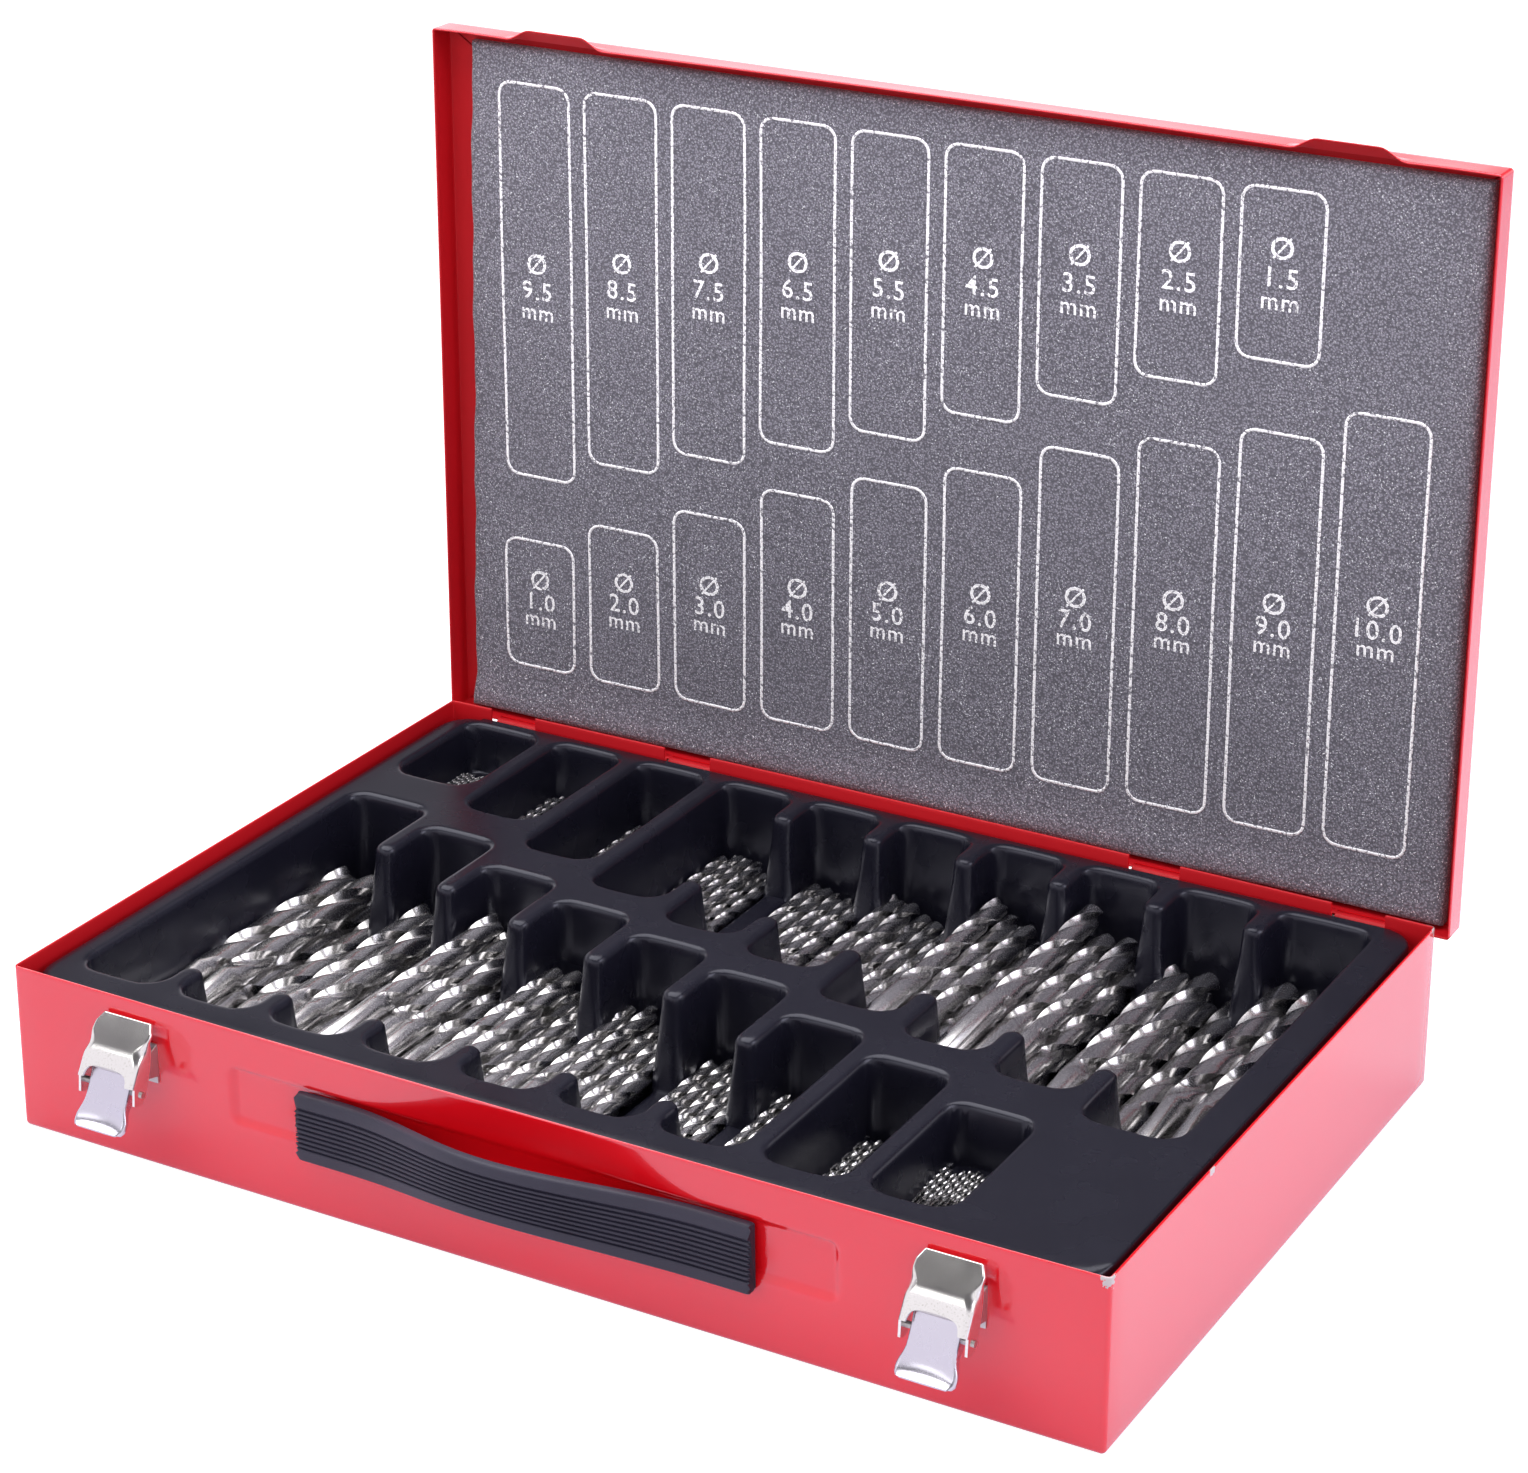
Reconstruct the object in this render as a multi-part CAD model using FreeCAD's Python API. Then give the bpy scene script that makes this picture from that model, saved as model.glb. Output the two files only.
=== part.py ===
import FreeCAD, Part
import math
import os

# A hinged sheet-metal case for a full set of twist drills.
# Millimetres. X runs to the right, Y to the back and Z up.
# The origin is the middle of the base's underside, and the lid stands open at a right angle.

os.makedirs("parts", exist_ok=True)
Vector = FreeCAD.Vector

# ---------------------------------------------------------------- driving dimensions

# Folded case
case_width = 365.0
case_depth = 238.7
case_height = 54.4
sheet = 0.8
corner_radius = 3.0
foot_radius = 1.6

# Clearances
seat_gap = 0.3
running_gap = 0.05

# Largest corner round, as a share of a box's half width
largest_round = 0.98

# Pressed recess in the front wall
recess_end_gap = 34.8
recess_bottom = 22.0
recess_top = 42.5
recess_depth = 1.3

# Lid
lid_overhang = 3.2
lid_skirt_depth = 10.5
lid_headroom = 1.7
lid_fold_radius = 1.5
hem_height = 3.0

# Hinges
hinge_inset = 60.5
hinge_wire_radius = 1.3
hinge_wire_length = 86.0
hinge_drop = 7.2
curl_sheet = 0.8
curl_mouth = 0.7
knuckle_spacing = 70.0
knuckle_notch = 18.0
base_knuckle_width = 14.0
lid_knuckle_width = 50.0
hinge_sweep_gap = 0.25

# Catches pressed outward in the lid's front skirt
catch_reach = 3.7
catch_flat_width = 19.3
catch_foot_width = 37.0

# Latches
latch_inset = 44.7
latch_tilt = 30.0
latch_metal = 0.8
pin_radius = 1.0
pivot_standoff = 10.2
pivot_height = 35.8
claw_pivot_drop = 6.0

bracket_width = 18.6
bracket_plate = 1.0
bracket_low = 29.0
bracket_high = 42.0
ear_thickness = 0.9
ear_foot = 31.0
ear_round = 2.0
rivet_radius = 1.5
rivet_head_radius = 2.5
rivet_head_height = 0.9
rivet_spacing = 10.0

claw_front = 3.0
claw_bend = 4.84
claw_plate_bottom = -4.3
claw_tip_reach = 15.7
claw_tip_lean = 3.44
claw_lip = 1.8
claw_flange_top = 10.0
claw_flange_low = 3.8
claw_flange_back = 2.6
claw_corner_cut = 1.5
claw_corner_run = 3.0
claw_arch_width = 13.5
claw_arch_height = 3.4
claw_pin_end = 0.6

lever_eye_wall = 0.8
lever_side_gap = 0.45
lever_tab = 0.95
lever_length = 18.3
lever_foot_width = 18.4
lever_flare_top = 12.5
lever_flare_bottom = 15.0
lever_lip = 1.4

# Handle
prong_spacing = 136.0
handle_end_margin = 8.0
handle_flat_length = 14.0
handle_bow = 16.6
handle_thickness = 3.7
handle_end_height = 22.0
handle_middle_height = 18.5
handle_end_centre = 30.0
handle_lift = 8.0
handle_curve_steps = 12
strap_thickness = 1.5
strap_inset = 3.5
strap_end_inset = 2.0
prong_width = 1.5
prong_bottom = 26.0
prong_height = 8.0
prong_hook = 4.0
handle_travel = 2.5

# Formed tray
tray_drop = 3.4
tray_sheet = 1.2
tray_left_gap = 1.7
tray_right_gap = 3.7
tray_end_gap = 0.55
tray_corner_radius = 12.0
tray_side_step = 3.0
tray_rear_step = 1.5
tray_front_step = 6.0
first_column_inset = 25.0
last_column_inset = 30.6
rib_width = 5.6
first_pocket_extra = 2.5
last_pocket_extra = 4.5
pocket_corner_radius = 3.0
rear_rim = 5.3
front_rim = 15.0
ridge_height = 3.0
front_head = 22.0
front_stub = 12.0
rear_head = 17.0
rear_stub = 14.0
front_finger_ribs = (0, 1, 2, 3, 4, 5)
rear_finger_ribs = (3, 4, 5, 6, 7, 8)

# Foam pad in the lid
foam_left_gap = 6.7

# Drills: diameter, overall length, how many, the room left in the tray's length and the tray floor
point_angle = 118.0
drill_gap = 0.25
rear_drills = (
    (1.0, 34.0, 10, 13.0, 33.0),
    (2.0, 49.0, 10, 11.0, 31.0),
    (3.0, 61.0, 10, 15.5, 24.0),
    (4.0, 75.0, 10, 14.6, 20.0),
    (5.0, 86.0, 10, 14.0, 14.0),
    (6.0, 93.0, 10, 14.5, 11.0),
    (7.0, 109.0, 10, 13.0, 11.0),
    (8.0, 117.0, 10, 14.0, 11.0),
    (9.0, 125.0, 5, 14.0, 11.0),
    (10.0, 133.0, 5, 18.0, 11.0),
)
front_drills = (
    (9.5, 125.0, 5, 22.0, 11.0),
    (8.5, 117.0, 5, 19.0, 11.0),
    (7.5, 109.0, 10, 12.0, 11.0),
    (6.5, 101.0, 10, 10.0, 11.0),
    (5.5, 93.0, 10, 9.0, 14.0),
    (4.5, 80.0, 10, 13.0, 16.0),
    (3.5, 70.0, 10, 8.5, 20.0),
    (2.5, 57.0, 10, 11.0, 24.0),
    (1.5, 40.0, 10, 14.5, 32.0),
)
drill_tip_room = 0.45

# ---------------------------------------------------------------- derived places

half_width = case_width / 2
half_depth = case_depth / 2
hinge_spacing = case_width - 2 * hinge_inset
latch_spacing = case_width - 2 * latch_inset
recess_half_width = latch_spacing / 2 - recess_end_gap
handle_half_width = prong_spacing / 2 + handle_end_margin
handle_flat_end = handle_half_width - handle_flat_length
lid_panel_inner = case_height + lid_headroom
lid_panel_outer = lid_panel_inner + sheet
lid_free_edge = lid_panel_outer - lid_skirt_depth
lid_half_width = half_width + lid_overhang
lid_half_depth = half_depth + lid_overhang

lid_bore = hinge_wire_radius + running_gap
knuckle_radius = lid_bore + curl_sheet
hinge_y = half_depth + lid_overhang - sheet + knuckle_radius
hinge_z = case_height - hinge_drop
hinge_axis = Vector(0, hinge_y, hinge_z)
across = Vector(1, 0, 0)

tray_left = sheet + tray_left_gap - half_width
tray_right = half_width - sheet - tray_right_gap
tray_rear = half_depth - sheet - tray_end_gap
tray_front = -tray_rear
first_column = tray_left + first_column_inset
last_column = tray_right - last_column_inset
column_pitch = (last_column - first_column) / (len(rear_drills) - 1)
pocket_width = column_pitch - rib_width
pocket_rear_edge = tray_rear - rear_rim
pocket_front_edge = tray_front + front_rim
tray_top = case_height - tray_drop

ear_outer = bracket_width / 2
ear_inner = ear_outer - ear_thickness
claw_inner = ear_outer + seat_gap
claw_outer = claw_inner + latch_metal
lever_half = ear_inner - lever_side_gap
eye_bore = pin_radius + running_gap
eye_radius = eye_bore + lever_eye_wall
latch_cos = math.cos(math.radians(latch_tilt))
latch_sin = math.sin(math.radians(latch_tilt))


# ---------------------------------------------------------------- shape helpers

def box(x0, x1, y0, y1, z0, z1):
    """A plain box between two corners."""
    return Part.makeBox(x1 - x0, y1 - y0, z1 - z0, Vector(x0, y0, z0))


def upright_edges(shape):
    """The edges that run straight up."""
    found = []
    for edge in shape.Edges:
        ends = [vertex.Point for vertex in edge.Vertexes]
        if len(ends) == 2 and abs(ends[0].x - ends[1].x) + abs(ends[0].y - ends[1].y) < 1e-6:
            found.append(edge)
    return found


def level_edges(shape, z):
    """The edges that lie at height z."""
    found = []
    for edge in shape.Edges:
        bounds = edge.BoundBox
        if abs(bounds.ZMin - z) < 1e-6 and abs(bounds.ZMax - z) < 1e-6:
            found.append(edge)
    return found


def rounded_box(x0, x1, y0, y1, z0, z1, radius):
    """A box whose four upright corners are round."""
    plain = box(x0, x1, y0, y1, z0, z1)
    limit = min(x1 - x0, y1 - y0) / 2 * largest_round
    return plain.makeFillet(min(radius, limit), upright_edges(plain))


def prism_x(points, x0, x1):
    """An outline given as (y, z) points, drawn out along X."""
    corners = [Vector(x0, y, z) for y, z in points]
    corners.append(corners[0])
    face = Part.Face(Part.makePolygon(corners))
    return face.extrude(Vector(x1 - x0, 0, 0))


def cylinder_x(y, z, radius, x0, x1):
    """A round bar along X."""
    return Part.makeCylinder(radius, x1 - x0, Vector(x0, y, z), across)


def cylinder_y(x, z, radius, y0, y1):
    """A round bar along Y."""
    return Part.makeCylinder(radius, y1 - y0, Vector(x, y0, z), Vector(0, 1, 0))


def polyhedron(faces):
    """A solid with flat faces, each a loop of corners."""
    sides = []
    for loop in faces:
        sides.append(Part.Face(Part.makePolygon(list(loop) + [loop[0]])))
    return Part.Solid(Part.Shell(sides))


def shifted(shape, x):
    """A copy moved along X."""
    copy = shape.copy()
    copy.translate(Vector(x, 0, 0))
    return copy


def write(node, solids):
    """Write the solids of one node to its own file."""
    clean = []
    for solid in solids:
        clean.extend(solid.removeSplitter().Solids)
    shape = clean[0] if len(clean) == 1 else Part.makeCompound(clean)
    shape.exportStep("parts/" + node + ".step")
    print(node, len(clean), "solids", round(sum(item.Volume for item in clean), 1), "mm3")


# ---------------------------------------------------------------- base

def hinge_centres():
    """The middles of the two hinges, left then right."""
    return (-hinge_spacing / 2, hinge_spacing / 2)


def knuckle_centres(hinge):
    """The middles of the two base knuckles of one hinge."""
    return (hinge - knuckle_spacing / 2, hinge + knuckle_spacing / 2)


def base_knuckle(centre):
    """A tab of the rear wall, bent outward and curled round the wire."""
    x0 = centre - base_knuckle_width / 2
    x1 = centre + base_knuckle_width / 2
    low = hinge_z - knuckle_radius
    tab = box(x0, x1, half_depth - sheet, hinge_y, low, low + sheet)
    curl = cylinder_x(hinge_y, hinge_z, knuckle_radius, x0, x1)
    bore = cylinder_x(hinge_y, hinge_z, hinge_wire_radius, x0, x1)
    mouth = box(x0, x1, half_depth, hinge_y - hinge_wire_radius, low + sheet, low + sheet + curl_mouth)
    return tab.fuse(curl).cut(bore).cut(mouth)


def case_base():
    """The folded base with its recess, hinge tabs, handle slots and rivet holes."""
    outer = rounded_box(-half_width, half_width, -half_depth, half_depth, 0, case_height, corner_radius)
    outer = outer.makeFillet(foot_radius, level_edges(outer, 0))
    inner = rounded_box(sheet - half_width, half_width - sheet, sheet - half_depth, half_depth - sheet,
                        sheet, case_height + sheet, corner_radius - sheet)
    inner = inner.makeFillet(foot_radius - sheet, level_edges(inner, sheet))
    shell = outer.cut(inner)

    liner = box(-recess_half_width - sheet, recess_half_width + sheet, -half_depth,
                -half_depth + recess_depth + sheet, recess_bottom - sheet, recess_top + sheet)
    recess = box(-recess_half_width, recess_half_width, -half_depth - sheet,
                 -half_depth + recess_depth, recess_bottom, recess_top)
    shell = shell.fuse(liner).cut(recess)

    for hinge in hinge_centres():
        for centre in knuckle_centres(hinge):
            notch = box(centre - knuckle_notch / 2, centre + knuckle_notch / 2,
                        half_depth - 2 * sheet, half_depth + sheet,
                        hinge_z - knuckle_radius, case_height + sheet)
            shell = shell.cut(notch).fuse(base_knuckle(centre))

    for side in (-1, 1):
        prong = side * prong_spacing / 2
        slot = box(prong - prong_width / 2 - seat_gap, prong + prong_width / 2 + seat_gap,
                   -half_depth, -half_depth + recess_depth + 2 * sheet,
                   prong_bottom - seat_gap, prong_bottom + prong_height + seat_gap)
        shell = shell.cut(slot)
        for rivet in rivet_places(side * latch_spacing / 2):
            hole = cylinder_y(rivet, pivot_height, rivet_radius, -half_depth - sheet, -half_depth + 2 * sheet)
            shell = shell.cut(hole)
    return shell


# ---------------------------------------------------------------- lid, drawn shut and then turned open

def opened(shape):
    """Turn a closed lid's shape up to the right angle where it stands."""
    copy = shape.copy()
    copy.rotate(hinge_axis, across, -90)
    return copy


def catch_wedge(centre, inset):
    """The pressed catch: a slope between two tapering ends, or the hollow behind it."""
    taper = (catch_foot_width - catch_flat_width) / 2 / catch_reach
    drop = min(inset, sheet)
    wall = inset - lid_half_depth
    edge = wall - catch_reach - drop
    low = lid_free_edge - drop
    high = lid_free_edge + catch_reach
    foot = catch_foot_width / 2 + drop * taper
    flat = catch_flat_width / 2
    left_foot = Vector(centre - foot, wall, low)
    right_foot = Vector(centre + foot, wall, low)
    left_edge = Vector(centre - flat, edge, low)
    right_edge = Vector(centre + flat, edge, low)
    left_top = Vector(centre - flat, wall, high)
    right_top = Vector(centre + flat, wall, high)
    return polyhedron((
        (left_foot, left_edge, right_edge, right_foot),
        (left_foot, left_top, left_edge),
        (right_foot, right_edge, right_top),
        (left_top, right_top, right_edge, left_edge),
        (left_foot, right_foot, right_top, left_top),
    ))


def lid_knuckle(hinge):
    """The middle of a hinge: the rear skirt's edge, curled outward round the wire."""
    x0 = hinge - lid_knuckle_width / 2
    x1 = hinge + lid_knuckle_width / 2
    skirt = half_depth + lid_overhang
    curl = cylinder_x(hinge_y, hinge_z, knuckle_radius, x0, x1)
    bore = cylinder_x(hinge_y, hinge_z, lid_bore, x0, x1)
    mouth = box(x0, x1, skirt, skirt + curl_mouth, hinge_z, hinge_z + knuckle_radius)
    return curl.cut(bore).cut(mouth)


def case_lid():
    """The folded lid with its hem, catches and hinge curls."""
    outer = rounded_box(-lid_half_width, lid_half_width, -lid_half_depth, lid_half_depth,
                        lid_free_edge, lid_panel_outer, corner_radius + lid_overhang)
    outer = outer.makeFillet(lid_fold_radius, level_edges(outer, lid_panel_outer))
    inner = rounded_box(sheet - lid_half_width, lid_half_width - sheet, sheet - lid_half_depth,
                        lid_half_depth - sheet, lid_free_edge - sheet, lid_panel_inner,
                        corner_radius + lid_overhang - sheet)
    inner = inner.makeFillet(lid_fold_radius - sheet, level_edges(inner, lid_panel_inner))
    hem_outer = rounded_box(sheet - lid_half_width, lid_half_width - sheet, sheet - lid_half_depth,
                            lid_half_depth - sheet, lid_free_edge, lid_free_edge + hem_height,
                            corner_radius + lid_overhang - sheet)
    hem_inner = rounded_box(2 * sheet - lid_half_width, lid_half_width - 2 * sheet,
                            2 * sheet - lid_half_depth, lid_half_depth - 2 * sheet,
                            lid_free_edge - sheet, lid_panel_inner,
                            corner_radius + lid_overhang - 2 * sheet)
    hem = hem_outer.cut(hem_inner)
    for side in (-1, 1):
        catch = side * latch_spacing / 2
        hem = hem.cut(box(catch - catch_foot_width / 2, catch + catch_foot_width / 2, -lid_half_depth,
                          3 * sheet - lid_half_depth, lid_free_edge, lid_panel_inner))
    for hinge in hinge_centres():
        reach = knuckle_spacing / 2 + knuckle_notch / 2
        hem = hem.cut(box(hinge - reach, hinge + reach, lid_half_depth - 3 * sheet, lid_half_depth,
                          lid_free_edge, lid_panel_inner))
    lid = outer.cut(inner).fuse(hem)

    for side in (-1, 1):
        catch = side * latch_spacing / 2
        lid = lid.fuse(catch_wedge(catch, 0)).cut(catch_wedge(catch, sheet * math.sqrt(2)))

    for hinge in hinge_centres():
        lid = lid.fuse(lid_knuckle(hinge))
        for centre in knuckle_centres(hinge):
            notch = box(centre - knuckle_notch / 2, centre + knuckle_notch / 2,
                        lid_half_depth - 3 * sheet, lid_half_depth + sheet,
                        lid_free_edge - sheet, hinge_z + knuckle_radius + hinge_sweep_gap)
            lid = lid.cut(notch)
    return opened(lid)


def lid_pad():
    """The foam pad, held inside the base's walls and just clear of the tray when shut."""
    low = tray_top + seat_gap
    left = sheet + foam_left_gap - half_width
    right = half_width - sheet - seat_gap
    front = sheet + seat_gap - half_depth
    # its rear corner swings over the rear wall's inner edge
    swing = math.hypot(hinge_y - half_depth + sheet, case_height - hinge_z) + seat_gap
    rear = hinge_y - math.sqrt(swing * swing - (low - hinge_z) ** 2)
    return opened(rounded_box(left, right, front, rear, low, lid_panel_inner, corner_radius))


def hinge_wire(hinge):
    """The straight wire that a hinge turns on."""
    return cylinder_x(hinge_y, hinge_z, hinge_wire_radius, hinge - hinge_wire_length / 2,
                      hinge + hinge_wire_length / 2)


# ---------------------------------------------------------------- latches, drawn at x = 0

def latch_point(out, up):
    """A point of the tilted latch: out from the lever's pivot and up along the latch."""
    y = -half_depth - pivot_standoff - out * latch_cos + up * latch_sin
    z = pivot_height + out * latch_sin + up * latch_cos
    return (y, z)


claw_pivot_out = -claw_pivot_drop * latch_sin
claw_pivot_up = -claw_pivot_drop * latch_cos
lever_pivot = latch_point(0, 0)
claw_pivot = latch_point(claw_pivot_out, claw_pivot_up)


def latch_prism(points, x0, x1):
    """An outline in the latch's tilted plane, drawn out along X."""
    return prism_x([latch_point(out, up) for out, up in points], x0, x1)


def rivet_places(centre):
    """The two rivets of one latch bracket."""
    return (centre - rivet_spacing / 2, centre + rivet_spacing / 2)


def tangent_touch(point, centre, radius, side):
    """Where a line from a point touches a circle, on one side of it."""
    dy = centre[0] - point[0]
    dz = centre[1] - point[1]
    distance = math.hypot(dy, dz)
    angle = math.atan2(dz, dy) + side * math.acos(radius / distance) + math.pi
    return (centre[0] + radius * math.cos(angle), centre[1] + radius * math.sin(angle))


def latch_bracket():
    """The riveted plate with two ears that hold the lever's pin."""
    wall = -half_depth
    plate = box(-ear_outer, ear_outer, wall - bracket_plate, wall, bracket_low, bracket_high)
    low = (wall, ear_foot)
    high = (wall, bracket_high)
    low_touch = tangent_touch(low, lever_pivot, ear_round, 1)
    high_touch = tangent_touch(high, lever_pivot, ear_round, -1)
    if low_touch[1] > high_touch[1]:
        low_touch = tangent_touch(low, lever_pivot, ear_round, -1)
        high_touch = tangent_touch(high, lever_pivot, ear_round, 1)
    bracket = plate
    for x0 in (-ear_outer, ear_inner):
        x1 = x0 + ear_thickness
        ear = prism_x((low, low_touch, high_touch, high), x0, x1)
        ear = ear.fuse(cylinder_x(lever_pivot[0], lever_pivot[1], ear_round, x0, x1))
        bracket = bracket.fuse(ear)
    bracket = bracket.cut(cylinder_x(lever_pivot[0], lever_pivot[1], pin_radius, -ear_outer, ear_outer))
    for rivet in rivet_places(0):
        bracket = bracket.cut(cylinder_y(rivet, pivot_height, rivet_radius, wall - bracket_plate, wall))
    return bracket


def latch_rivet(centre):
    """A rivet through the bracket and the wall, with a head on each side."""
    front = -half_depth - bracket_plate
    back = -half_depth + sheet
    shank = cylinder_y(centre, pivot_height, rivet_radius, front, back)
    head = cylinder_y(centre, pivot_height, rivet_head_radius, front - rivet_head_height, front)
    tail = cylinder_y(centre, pivot_height, rivet_head_radius, back, back + rivet_head_height)
    return shank.fuse(head).fuse(tail)


def lever_pin():
    """The pin in the bracket's ears that the lever turns on."""
    return cylinder_x(lever_pivot[0], lever_pivot[1], pin_radius, -ear_outer, ear_outer)


def claw_pin():
    """The pin in the lever's tabs that the claw turns on."""
    return cylinder_x(claw_pivot[0], claw_pivot[1], pin_radius, -claw_outer - claw_pin_end,
                      claw_outer + claw_pin_end)


def latch_lever():
    """The finger lever: an eye round its pin, a plate that flares at its foot and two side tabs."""
    eye = cylinder_x(lever_pivot[0], lever_pivot[1], eye_radius, -lever_half, lever_half)
    inner = -eye_bore
    outer = -eye_radius
    plate = latch_prism(((outer, 0), (inner, 0), (inner, -lever_length), (outer, -lever_length)),
                        -lever_foot_width / 2, lever_foot_width / 2)
    foot = lever_foot_width / 2
    for side in (-1, 1):
        edge = Vector(side * lever_half, *latch_point(inner + sheet, sheet + eye_radius))
        narrow = Vector(side * lever_half, *latch_point(inner + sheet, -lever_flare_top))
        wide = Vector(side * foot, *latch_point(inner + sheet, -lever_flare_bottom))
        past = Vector(side * (foot + sheet), *latch_point(inner + sheet, -lever_flare_bottom))
        beyond = Vector(side * (foot + sheet), *latch_point(inner + sheet, sheet + eye_radius))
        outline = Part.Face(Part.makePolygon([edge, narrow, wide, past, beyond, edge]))
        through = Vector(0, *latch_point(outer - sheet, 0)) - Vector(0, *latch_point(inner + sheet, 0))
        plate = plate.cut(outline.extrude(through))
    lip = latch_prism(((outer, -lever_length), (outer, -lever_length + latch_metal),
                       (inner + lever_lip, -lever_length + latch_metal),
                       (inner + lever_lip, -lever_length)), -foot, foot)
    lever = eye.fuse(plate).fuse(lip)
    lever = lever.cut(cylinder_x(lever_pivot[0], lever_pivot[1], eye_bore, -foot, foot))
    tab_back = claw_pivot_out - pin_radius - seat_gap
    tab_top = claw_pivot_up + pin_radius + 2 * latch_metal
    tab_bottom = claw_pivot_up - pin_radius - 2 * latch_metal
    for x0 in (-lever_half, lever_half - lever_tab):
        x1 = x0 + lever_tab
        tab = latch_prism(((inner, tab_top), (outer, tab_top), (tab_back, claw_pivot_up + pin_radius),
                           (tab_back, claw_pivot_up - pin_radius), (outer, tab_bottom),
                           (inner, tab_bottom)), x0, x1)
        lever = lever.fuse(tab)
    return lever.cut(cylinder_x(claw_pivot[0], claw_pivot[1], pin_radius, -lever_half, lever_half))


def latch_claw():
    """The claw: front plate, leaning top plate with a lip that hooks the lid, and two flanges."""
    rise = claw_tip_reach - claw_bend
    length = math.hypot(rise, claw_tip_lean)
    along = (-claw_tip_lean / length, rise / length)
    inward = (-along[1], along[0])
    inner_front = claw_front - latch_metal
    tip = (claw_front - claw_tip_lean, claw_tip_reach)
    lip_end = (tip[0] + claw_lip * inward[0], tip[1] + claw_lip * inward[1])
    lip_back = (lip_end[0] - latch_metal * along[0], lip_end[1] - latch_metal * along[1])
    lip_root = (tip[0] + latch_metal * (inward[0] - along[0]), tip[1] + latch_metal * (inward[1] - along[1]))
    inner_slope = along[0] / along[1]
    bend_back = (inner_front, lip_root[1] + (inner_front - lip_root[0]) / inner_slope)
    flange_top = (lip_root[0] + (claw_flange_top - lip_root[1]) * inner_slope, claw_flange_top)
    flange = (
        (claw_front, claw_plate_bottom),
        (claw_pivot_out + 2 * pin_radius, claw_pivot_up - claw_flange_low),
        (claw_pivot_out - 2 * pin_radius, claw_pivot_up - claw_flange_back),
        (claw_pivot_out - 2 * pin_radius, claw_pivot_up + claw_flange_back),
        (claw_pivot_out, claw_flange_top - claw_flange_low),
        flange_top,
    )
    outline = ((claw_front, claw_bend),) + flange + (lip_root, lip_back, lip_end, tip)
    claw = latch_prism(outline, -claw_outer, claw_outer)
    far = claw_pivot_out - pivot_standoff
    low = claw_pivot_up - pivot_standoff
    hollow = (bend_back, (inner_front, low), (far, low), (far, claw_flange_top), flange_top)
    claw = claw.cut(latch_prism(hollow, -claw_inner, claw_inner))
    claw = claw.cut(claw_arch())
    claw = claw.cut(cylinder_x(claw_pivot[0], claw_pivot[1], eye_bore, -claw_outer, claw_outer))
    for side in (-1, 1):
        claw = claw.cut(claw_corner(side))
    return claw


def claw_corner(side):
    """The waste beyond one slanting corner of the claw's tip."""
    start = claw_tip_reach - claw_corner_run
    beyond = claw_tip_reach + sheet
    corners = []
    for x, up in ((claw_outer, start), (claw_outer - claw_corner_cut, beyond),
                  (claw_outer + sheet, beyond), (claw_outer + sheet, start)):
        corners.append(Vector(side * x, *latch_point(claw_front, up)))
    corners.append(corners[0])
    through = Vector(0, *latch_point(claw_front - pivot_standoff, 0)) - Vector(0, *latch_point(claw_front, 0))
    return Part.Face(Part.makePolygon(corners)).extrude(through)


def claw_arch():
    """The finger arch in the foot of the claw's front plate."""
    half = claw_arch_width / 2
    return latch_prism(((claw_front, claw_plate_bottom - latch_metal),
                        (claw_front, claw_plate_bottom + claw_arch_height),
                        (claw_front - latch_metal, claw_plate_bottom + claw_arch_height),
                        (claw_front - latch_metal, claw_plate_bottom - latch_metal)), -half, half)


# ---------------------------------------------------------------- handle

handle_end_y = -half_depth - seat_gap - handle_thickness / 2


def handle_share(x):
    """How far the handle has risen from its flat end to its middle, from 0 to 1."""
    share = min(1.0, max(0.0, (handle_flat_end - abs(x)) / handle_flat_end))
    return (1 - math.cos(math.pi * share)) / 2


def handle_plan(thickness, end):
    """The bowed strip's outline seen from above."""
    near = []
    far = []
    steps = 2 * handle_curve_steps
    for step in range(steps + 1):
        x = -handle_flat_end + 2 * handle_flat_end * step / steps
        middle = handle_end_y - handle_bow * handle_share(x)
        near.append(Vector(x, middle + thickness / 2, 0))
        far.append(Vector(x, middle - thickness / 2, 0))
    edges = []
    for row in (near, far):
        curve = Part.BSplineCurve()
        curve.interpolate(Points=row, InitialTangent=across, FinalTangent=across)
        edges.append(curve.toShape())
    near_left = Vector(-end, near[0].y, 0)
    near_right = Vector(end, near[0].y, 0)
    far_left = Vector(-end, far[0].y, 0)
    far_right = Vector(end, far[0].y, 0)
    loop = [edges[0], Part.makeLine(near[-1], near_right), Part.makeLine(near_right, far_right),
            Part.makeLine(far_right, far[-1]), edges[1], Part.makeLine(far[0], far_left),
            Part.makeLine(far_left, near_left), Part.makeLine(near_left, near[0])]
    return Part.Face(Part.Wire(Part.__sortEdges__(loop)))


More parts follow.
